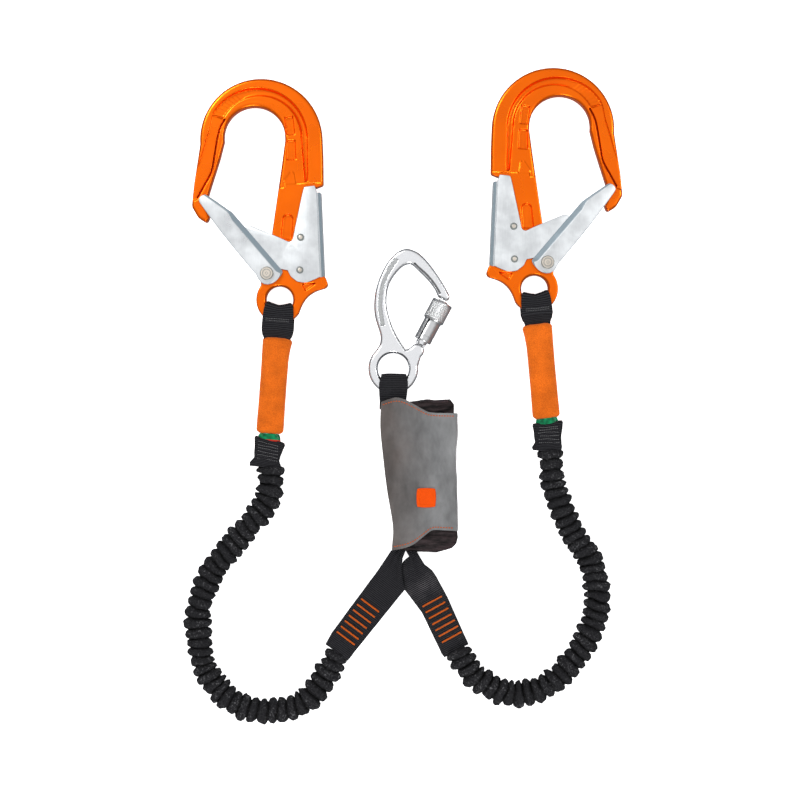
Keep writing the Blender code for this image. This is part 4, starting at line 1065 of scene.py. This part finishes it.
def make_tail(side):
    """Flat webbing with orange bar tacks, gathered where it passes through the absorber's loop."""
    frame_of, length = tail_place(side)
    seed = 4.0 if side == "left" else 5.0
    hand = HAND[side]
    edges = TAIL_EDGES[side]
    start = -13.0
    finish = length + 0.6

    def surface(u, v):
        y = start + (finish - start) * v
        low, high = between(y, edges["inner"]), between(y, edges["outer"])
        t = 2 * u - 1
        x = hand * (low + (high - low) * u)
        gather = between(y, ((start, 1.0), (18, 0.3), (32, 0.0), (length - 10, 0.0), (finish, 0.7)))
        pleats = gather * 1.0 * math.cos(t * 8.0 + 0.8 * crumple(t * 9, y, 7, seed))
        tuck = 0.25 * math.cos(math.tau * (y - (length - 59)) / 6.8) * (length - 62 < y < length - 14)
        z = 0.5 * crumple(x, y, 12.0, seed) + pleats - 0.5 * abs(t) ** 6 - tuck
        return Vector((x, y + 0.6 * crumple(t * 8, 0, 6, seed), z))

    strap = sheet(f"{side}_tail_webbing", surface, 36, 150, 2.6, 32.0)
    cloth = MATERIALS["black_webbing" if side == "left" else "worn_webbing"]
    place(strap, frame_of, cloth, f"{side}_tail", (f"{side}_tail",), 50)

    first, outward = (length - 57.0, 2.4) if side == "left" else (length - 54.6, 1.5)
    for i in range(7):
        bar = bar_tack(f"{side}_bar_tack_{i + 1}", 11.2, 0.95, seed + i)
        spot_on = Matrix.Translation((hand * outward, first + 6.8 * i, 1.6))
        place(bar, frame_of @ spot_on, MATERIALS["orange_thread"], f"{side}_tail", (f"{side}_bar_tacks",), 60)


def bar_tack(name, half, radius, seed):
    """A dense bar of thread: a slightly wavy flat ridge made of many crossing turns."""
    turns = 46
    sections = []
    for i in range(turns * 2 + 1):
        x = -half + 2 * half * i / (turns * 2)
        edge = min(1.0, (half - abs(x)) / 0.6 + 0.35)
        wobble = 0.18 * noise.noise(Vector((x / 2.2, seed, 0.0)))
        plump = radius * edge * (1.0 if i % 2 else 0.86)
        sections.append([(x, wobble + plump * math.cos(a), 0.62 * plump * math.sin(a))
                         for a in (math.tau * k / 8 for k in range(8))])
    return grid_skin(name, sections)


# ---------------------------------------------------------------- absorber pack
COVER_TOP = ((-42.0, 73.0), (-34, 75.9), (-26.3, 77.5), (-17.9, 75.4), (-7, 69.6), (4.0, 63.6), (12, 62.3),
             (32.8, 61.7))
COVER_BOTTOM = ((-31.2, -74.4), (-20, -72.4), (-10.6, -69.0), (0, -61.0), (8.8, -54.6), (20, -54.4),
                (33.0, -55.2))
COVER_LEFT = ((-31.2, -74.4), (-30.0, -50.4), (-36.0, -14.0), (-40.3, 22.3), (-42.6, 48.0), (-42.0, 73.0))
COVER_RIGHT = ((33.0, -55.2), (32.4, -20), (31.2, 18.7), (32.6, 40.0), (32.8, 61.7))


class Patchwork:
    """The outline of the cover as a surface with u from left to right and v from bottom to top."""

    def __init__(self):
        self.edges = [Track(smooth_line(knots, 8)) for knots in (COVER_BOTTOM, COVER_TOP, COVER_LEFT, COVER_RIGHT)]

    def at(self, u, v):
        """Point (x, y) on the cover."""
        bottom, top, left, right = self.edges
        low = bottom.at(u * bottom.length)[0]
        high = top.at(u * top.length)[0]
        near = left.at(v * left.length)[0]
        far = right.at(v * right.length)[0]
        corners = (left.points[0] * (1 - u) * (1 - v) + right.points[0] * u * (1 - v)
                   + left.points[-1] * (1 - u) * v + right.points[-1] * u * v)
        return low * (1 - v) + high * v + near * (1 - u) + far * u - corners


def cover_height(x, y):
    """Height of the cloth on the front: slack over the pouch, with long diagonal creases."""
    high = 28.4
    high += 1.2 * crumple(x + 0.5 * y, y, 30.0, 1.0)
    along = 0.77 * x + 0.64 * y
    across = 0.77 * y - 0.64 * x
    high += 1.5 * crumple(along * 2.2, across, 26.0, 12.0)
    for cx, cy, slope, width, rise in ((-6, 22, -0.75, 7.0, 1.9), (12, 30, -0.9, 6.0, -1.7), (-20, -48, 0.8, 6.0, 1.6),
                                       (6, -40, 0.5, 5.0, -1.5), (-22, 40, 0.35, 8.0, 1.2)):
        run = ((x - cx) + (y - cy) / max(abs(slope), 0.3) * (-1 if slope > 0 else 1) * 0.55) / width
        reach = (y - cy) / 30.0
        high += rise * math.exp(-run * run - reach * reach)
    high -= 2.2 * max(0.0, (-x - 27) / 12) ** 1.5
    high -= 1.6 * max(0.0, (x - 24) / 9) ** 2
    high += 0.35 * crumple(x, y, 7.0, 3.0)
    return max(high, 27.3) if x < -18 else high


def make_cover():
    """One cloth that wraps the pouch: front, right-hand spine and back, open on the left."""
    outline = Patchwork()
    front, spine = 0.44, 0.12
    foot = 1.4

    def surface(u, v):
        if u <= front:
            point = outline.at(u / front, v)
            return Vector((point.x, point.y, cover_height(point.x, point.y)))
        if u < front + spine:
            share = (u - front) / spine
            edge = outline.at(1.0, v)
            top = cover_height(edge.x, edge.y)
            bow = 1.7 * math.sin(math.pi * share) ** 0.6 + 0.5 * crumple(share * 20, edge.y, 12.0, 5.0)
            return Vector((edge.x + bow, edge.y, top + (foot - top) * share))
        point = outline.at((1 - u) / (1 - front - spine), v)
        return Vector((point.x, point.y, foot + 0.35 * crumple(point.x, point.y, 16.0, 6.0) ** 2))

    cloth = sheet("cover_cloth", surface, 150, 96, 1.0, 180.0)
    place(cloth, Matrix.Scale(MM, 4), MATERIALS["grey_cloth"], None, (), 60)
    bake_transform(cloth)
    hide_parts("cover_front", "cover_back")

    inset = 3.2
    for word, v in (("top", 1 - inset / 135), ("bottom", inset / 135)):
        for face, lift in (("front", 0.55), ("back", -0.55)):
            line = []
            for i in range(41):
                point = outline.at(0.02 + 0.96 * i / 40, v)
                height = cover_height(point.x, point.y) if face == "front" else foot - 0.4
                line.append(Vector((point.x, point.y, height)))
            row = stitch_row(f"cover_{word}_{face}_stitches", line, 0.6, 2.7, lift)
            body = "cover_flap" if face == "front" else "absorber"
            place(row, Matrix.Scale(MM, 4), MATERIALS["seam_thread"], body)

    def strip_face(u, v):
        x = -33.4 + 11.4 * u
        y = 62.0 * v
        return Vector((x, y, cover_height(x, y) - 0.85))

    strip = sheet("cover_closure_strip", strip_face, 8, 40, 0.5, 11.4)
    place(strip, Matrix.Scale(MM, 4), MATERIALS["dark_cloth"], "cover_flap", ("closure_hook_strip",), 60)

    def patch_face(u, v):
        a, b = 2 * u - 1, 2 * v - 1
        x = 3.0 + 9.6 * a * math.sqrt(1 - 0.16 * b * b)
        y = -22.0 + 9.6 * b * math.sqrt(1 - 0.16 * a * a)
        rim = max(abs(a), abs(b))
        return Vector((x, y, cover_height(x, y) + 0.9 + (0.35 if 0.74 < rim < 0.97 else 0.0)))

    patch = sheet("cover_patch_stitching", patch_face, 40, 40, 0.7, 18.0)
    place(patch, Matrix.Scale(MM, 4), MATERIALS["mark_thread"], "cover_flap", ("cover_patch",), 60)


def make_pouch():
    """The dark pouch, rolled over at its top and bottom ends."""
    sides = ((-77, -14, 15), (-76, -18, 22), (-73, -24, 29), (-68, -27, 33.5), (-62, -27, 35.0), (-48, -27, 33.5),
             (0, -33, 29.5), (40, -36, 30),
             (64, -35, 31), (71, -20, 31.2), (75.5, -2, 27))
    sections = []
    rows = 120
    for j in range(rows + 1):
        y = -76.8 + 151.8 * j / rows
        left = between(y, tuple((row[0], row[1]) for row in sides))
        right = between(y, tuple((row[0], row[2]) for row in sides))
        end = min(y + 76.8, 75.0 - y)
        plump = min(1.0, max(end, 0.0) / 7.0) ** 0.5 * 0.9 + 0.1
        roll = 1.0 + 0.10 * math.sin(end * 0.62) * math.exp(-end / 14)
        ring = []
        for k in range(64):
            a = math.tau * k / 64
            c, s = math.cos(a), math.sin(a)
            x = (left + right) / 2 + (right - left) / 2 * math.copysign(abs(c) ** 0.45, c)
            z = 13.4 + 11.0 * plump * roll * math.copysign(abs(s) ** 0.5, s)
            fold = math.exp(-end / 16)
            phase = (end + 0.16 * x + 2.6 * crumple(x, y, 14.0, 11.0)) * math.tau / 5.6
            z += 1.9 * fold * math.sin(phase) * s + 1.6 * fold * crumple(x * 0.3, y, 4.0, 8.0)
            z += 0.6 * crumple(x, y, 9.0, 9.0)
            ring.append((x, y + 1.6 * fold * crumple(x, s * 9, 9.0, 10.0), z))
        sections.append(ring)
    pouch = grid_skin("pouch_cloth", sections)
    place(pouch, Matrix.Scale(MM, 4), MATERIALS["dark_cloth"], "absorber", ("absorber_pouch",), None)


def make_top_strap():
    """Webbing from the pack round the bar of the carabiner's eye."""
    ring = spot("carabiner_swing")
    edge = ring.y - 6.2
    half = 14.0
    track = ((66.0, 6.5, half - 1.0, 0.0), (74.0, 7.4, half - 0.8, 0.0), (82.0, 8.6, half, 0.0),
             (edge - 9.0, 8.7, half + 0.4, 0.2), (edge - 4.5, 8.6, half - 0.4, 0.5), (edge - 0.6, 7.8, 12.6, 0.8),
             (edge + 0.2, 5.6, 12.2, 0.5), (edge + 0.3, 0.0, 12.0, 0.4))
    front = smooth_line([Vector(row) for row in track], 6)
    full = front + [Vector((p[0], -p[1], p[2], p[3])) for p in front[-2::-1]]
    rows = len(full) - 1

    def surface(u, v):
        y, z, wide, dip = full[round(v * rows)]
        t = 2 * u - 1
        drift = 1.2 * (y - 85) / 12
        return Vector((ring.x + wide * t + drift * 0.4, y - dip * abs(t) ** 3 + 0.3 * crumple(t * 9, y, 6, 2.0),
                       MID + z + 0.5 * crumple(wide * t, y, 8.0, 4.0)))

    strap = sheet("top_strap_webbing", surface, 22, rows, 2.2, 26.5)
    place(strap, Matrix.Scale(MM, 4), MATERIALS["black_webbing"], None, (), 50)
    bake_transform(strap)
    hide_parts("top_strap")


# ---------------------------------------------------------------- carabiner
def spine_panel():
    """Outline of the long recessed panel on the carabiner's spine."""
    outside = smooth_line([(-28.2, 217.0), (-35.2, 207.1), (-41.3, 191.9), (-44.5, 176.7), (-44.5, 164.0),
                           (-42.2, 148.8)], 5)
    inside = smooth_line([(-38.4, 149.4), (-40.7, 166.5), (-40.1, 179.2), (-37.1, 193.1), (-30.8, 205.2),
                          (-24.4, 214.7)], 5)
    return [tuple(p) for p in outside + inside]


def carabiner_shape():
    """The forged body in world millimetres about the middle plane, with its eye and recesses."""
    ring = spot("carabiner_swing")
    pin = spot("carabiner_gate_open")
    nose = rounded([(12.0, 185.5), (15.2, 177.9, 3.2), (27.2, 171.9, 3.2), (26.2, 181.0)])[1:-1]
    outer = smooth_line([(26.2, 180.0), (21.8, 188.1), (15.5, 198.2), (7.9, 209.0), (0.3, 217.8), (-7.3, 223.5),
                         (-16.8, 226.1), (-25.1, 222.9), (-30.8, 217.8), (-37.1, 209.6), (-43.4, 196.9),
                         (-47.6, 183.0), (-48.9, 169.1), (-47.9, 157.7), (-44.7, 146.9), (-42.5, 139.0),
                         (-43.0, 131.1), (-46.6, 124.7)], 4)
    eye = arc(ring.x, ring.y, 25.0, 146, 366, 32)
    lug = arc(pin.x, pin.y, 7.2, -55, 120, 14)
    inner = smooth_line([(-17.5, 125.4), (-23.8, 134.9), (-29.5, 145.6), (-33.9, 157.7), (-36.5, 170.3),
                         (-35.8, 183.0), (-32.7, 193.1), (-26.3, 202.6), (-19.4, 209.0), (-13.7, 210.9),
                         (-10.0, 209.4), (-3.5, 203.3), (5.3, 194.4), (12.0, 185.5)], 4)
    outline = nose + [tuple(p) for p in outer] + eye + lug + [(-13.6, 126.6)] + [tuple(p) for p in inner]
    body = slab("carabiner", outline, -6.0, 6.0, 3.0, 4)
    groove = band([(-9.0, 211.8), (-5.2, 208.0), (1.8, 201.8), (9.2, 193.6), (14.6, 185.6), (17.2, 180.6)], 0.75)
    fork_angle = math.radians(62.0 - 90.0)
    cuts = [lathe("eye", [(0, 20), (22, 20), (17.5, 6.2), (16.0, 4.4), (15.5, 2.5), (15.5, -2.5), (16.0, -4.4),
                          (17.5, -6.2), (22, -20), (0, -20)], 56)]
    cuts[0].data.transform(Matrix.Translation((ring.x, ring.y, 0)))
    fork = box("fork", (-20, -9.5, -3.4), (20, 12, 3.4))
    fork.data.transform(Matrix.Translation((pin.x, pin.y, 0)) @ Matrix.Rotation(fork_angle, 4, "Z"))
    cuts.append(fork)
    for top in (1, -1):
        for shape, floor in ((spine_panel(), 4.6), (groove, 3.0)):
            cuts.append(slab("recess", shape, *sorted((top * floor, top * 9.0))))
    combine(body, cuts)
    forge(body, 0.5, 3, 0.45)
    return thin_out(body, 0.6)


def knurled(name, profile, steps, knurl):
    """A turned tube whose radius carries a diamond knurl between two heights (low, high, depth)."""
    low, high, depth = knurl
    sections = []
    for radius, y in profile:
        ring = []
        for k in range(steps):
            a = math.tau * k / steps
            cut = 0.0
            if low < y < high:
                cut = depth * (1 - abs(math.sin(14 * a + y * 1.15)) * abs(math.sin(14 * a - y * 1.15)))
            ring.append(((radius - cut) * math.cos(a), y, (radius - cut) * math.sin(a)))
        sections.append(ring)
    sections.append(sections[0])
    obj = grid_skin(name, sections, caps=False)
    bm = bmesh.new()
    bm.from_mesh(obj.data)
    bmesh.ops.remove_doubles(bm, verts=bm.verts, dist=0.0005)
    bmesh.ops.recalc_face_normals(bm, faces=bm.faces)
    bm.to_mesh(obj.data)
    bm.free()
    return obj


def make_carabiner():
    """Body, gate and twist-lock sleeve."""
    pin = spot("carabiner_gate_open")
    body = carabiner_shape()
    body.name = "carabiner_forging"
    place(body, Matrix.Translation((0, 0, MID * MM)) @ Matrix.Scale(MM, 4), MATERIALS["polished_alloy"],
          "carabiner", ("carabiner_body",), None)
    for word, top in (("front", 1), ("back", -1)):
        panel = slab(f"carabiner_panel_{word}", spine_panel(), *sorted((top * 4.4, top * 4.9)))
        place(panel, Matrix.Translation((0, 0, MID * MM)) @ Matrix.Scale(MM, 4), MATERIALS["grained_alloy"],
              "carabiner", (), 35)
    at = planar(pin.x, pin.y, MID, 62.0 - 90.0)

    profile = [(7.6, 11.5), (8.2, 11.5), (8.6, 11.9), (8.75, 12.6)]
    profile += [(8.75, y) for y in (14, 16, 16.8)] + [(8.45, 17.1), (8.45, 17.9), (8.75, 18.2)]
    profile += [(8.75, y) for y in (22, 26, 30, 32.6)] + [(8.9, 33.4), (9.8, 34.2), (10.5, 34.8), (10.75, 35.4)]
    profile += [(10.75, 36.0 + 0.45 * i) for i in range(38)] + [(10.75, 53.6), (10.4, 54.5), (10.0, 55.0),
                                                               (8.6, 55.0), (7.6, 54.4)]
    sleeve = knurled("lock_sleeve_knurled", profile, 180, (35.6, 52.8, 0.6))
    combine(sleeve, [lathe_cut("ball", 4.8, 32.4, 2.1)], "DIFFERENCE")
    slot = box("slot", (-4.9, 10.0, 5.6), (-3.5, 31.0, 12.0))
    combine(sleeve, [slot], "DIFFERENCE")
    place(sleeve, at, MATERIALS["sleeve_alloy"], "lock_sleeve", ("lock_sleeve",), 35)

    gate_profile = [(0, 7.6), (4.4, 7.6), (5.2, 8.2), (5.4, 9.0), (5.4, 55.0), (5.1, 55.8), (4.4, 56.4), (0, 56.4)]
    gate = lathe("carabiner_gate_barrel", gate_profile, 40)
    gate.data.transform(Matrix.Rotation(math.radians(-90), 4, "X"))
    knuckle = slab("knuckle", rounded([(-5.6, -3.0, 2.5), (-3.0, -6.2, 3), (3.0, -6.2, 3), (5.6, -3.0, 2.5),
                                       (5.6, 9.0), (-5.6, 9.0)]), -2.9, 2.9, 0.5, 2)
    combine(gate, [knuckle], "UNION")
    place(gate, at, MATERIALS["polished_alloy"], "carabiner_gate", ("carabiner_gate",), 35)


def lathe_cut(name, x, y, radius):
    """A short vertical cutter through the front of the sleeve."""
    obj = lathe(name, [(0, 14), (radius, 14), (radius, 5.7), (0, 5.7)], 20)
    obj.data.transform(Matrix.Translation((-x, y, 0)))
    return obj


def dress_frame():
    """Materials for the CAD pieces that stay as they are."""
    finish = {"webbing": "black_webbing", "strap": "black_webbing", "loop": "black_webbing", "spring": "spring_steel",
              "strip": "dark_cloth", "pin": "polished_alloy", "guide_ring": "sleeve_alloy"}
    for node, obj in frame["nodes"].items():
        for word, material in finish.items():
            if word in node:
                obj.data.materials.clear()
                obj.data.materials.append(MATERIALS[material])


# ---------------------------------------------------------------- studio
def studio():
    """Pale floor, soft white light and a camera that looks straight down."""
    floor_size = 6.0
    bm = bmesh.new()
    bmesh.ops.create_grid(bm, x_segments=1, y_segments=1, size=floor_size / 2)
    floor = mesh_object("studio_floor", bm)
    floor.location = (0, 0, CAD_BOX[0][2] - 0.002)
    paper = Surface("studio_paper", (0.93, 0.93, 0.93), 0.9, Emission_Color=(1, 1, 1, 1), Emission_Strength=0.9)
    floor.data.materials.append(paper.material)
    floor.visible_glossy = False

    world = bpy.data.worlds.new("studio_light")
    bpy.context.scene.world = world
    world.use_nodes = True
    nodes, links = world.node_tree.nodes, world.node_tree.links
    background = nodes["Background"]
    coordinate = nodes.new("ShaderNodeTexCoord")
    split = nodes.new("ShaderNodeSeparateXYZ")
    ramp = nodes.new("ShaderNodeValToRGB")
    links.new(coordinate.outputs["Generated"], split.inputs[0])
    links.new(split.outputs["Z"], ramp.inputs["Fac"])
    seen = nodes.new("ShaderNodeLightPath")
    shown = nodes.new("ShaderNodeMix")
    shown.data_type = "RGBA"
    links.new(seen.outputs["Is Camera Ray"], shown.inputs["Factor"])
    links.new(ramp.outputs["Color"], shown.inputs[6])
    shown.inputs[7].default_value = (1.2, 1.2, 1.2, 1)
    links.new(shown.outputs[2], background.inputs["Color"])
    steps = ramp.color_ramp.elements
    steps[0].position, steps[0].color = 0.0, (0.20, 0.21, 0.23, 1)
    steps[1].position, steps[1].color = 1.0, (0.98, 0.98, 1.0, 1)
    for position, value in ((0.3, 0.24), (0.62, 0.42), (0.84, 0.9)):
        steps.new(position).color = (value, value, value * 1.02, 1)
    background.inputs["Strength"].default_value = 0.85
    bpy.context.scene.view_settings.view_transform = "Standard"

    lamps = (("key", (-0.9, 1.1, 1.3), 0.7, 17.0), ("fill", (1.2, 0.4, 1.1), 0.7, 8.0),
             ("front", (-0.1, -1.5, 0.9), 0.6, 16.0))
    for name, at, size, power in lamps:
        lamp = bpy.data.lights.new(name, "AREA")
        lamp.shape = "DISK"
        lamp.size = size
        lamp.energy = power
        lamp.use_shadow = True
        holder = bpy.data.objects.new(name, lamp)
        holder.location = at
        aim = Vector((-0.02, 0.07, 0.02)) - Vector(at)
        holder.rotation_euler = aim.to_track_quat("-Z", "Y").to_euler()
        bpy.context.scene.collection.objects.link(holder)

    lens = bpy.data.cameras.new("camera")
    lens.lens = 85.0
    lens.sensor_width = 36.0
    camera = bpy.data.objects.new("camera", lens)
    camera.location = (-0.023, 0.075, 1.904)
    bpy.context.scene.collection.objects.link(camera)
    bpy.context.scene.camera = camera


forging = hook_shape()
gate_channel = gate_shape()
lever_channel = lever_shape()
for side in HAND:
    make_hook(side, forging, gate_channel, lever_channel)
    make_grip(side)
    make_leg(side)
    make_tail(side)
for shared in (forging, gate_channel, lever_channel):
    bpy.data.objects.remove(shared, do_unlink=True)


make_cover()
make_pouch()
make_top_strap()
make_carabiner()
dress_frame()
studio()
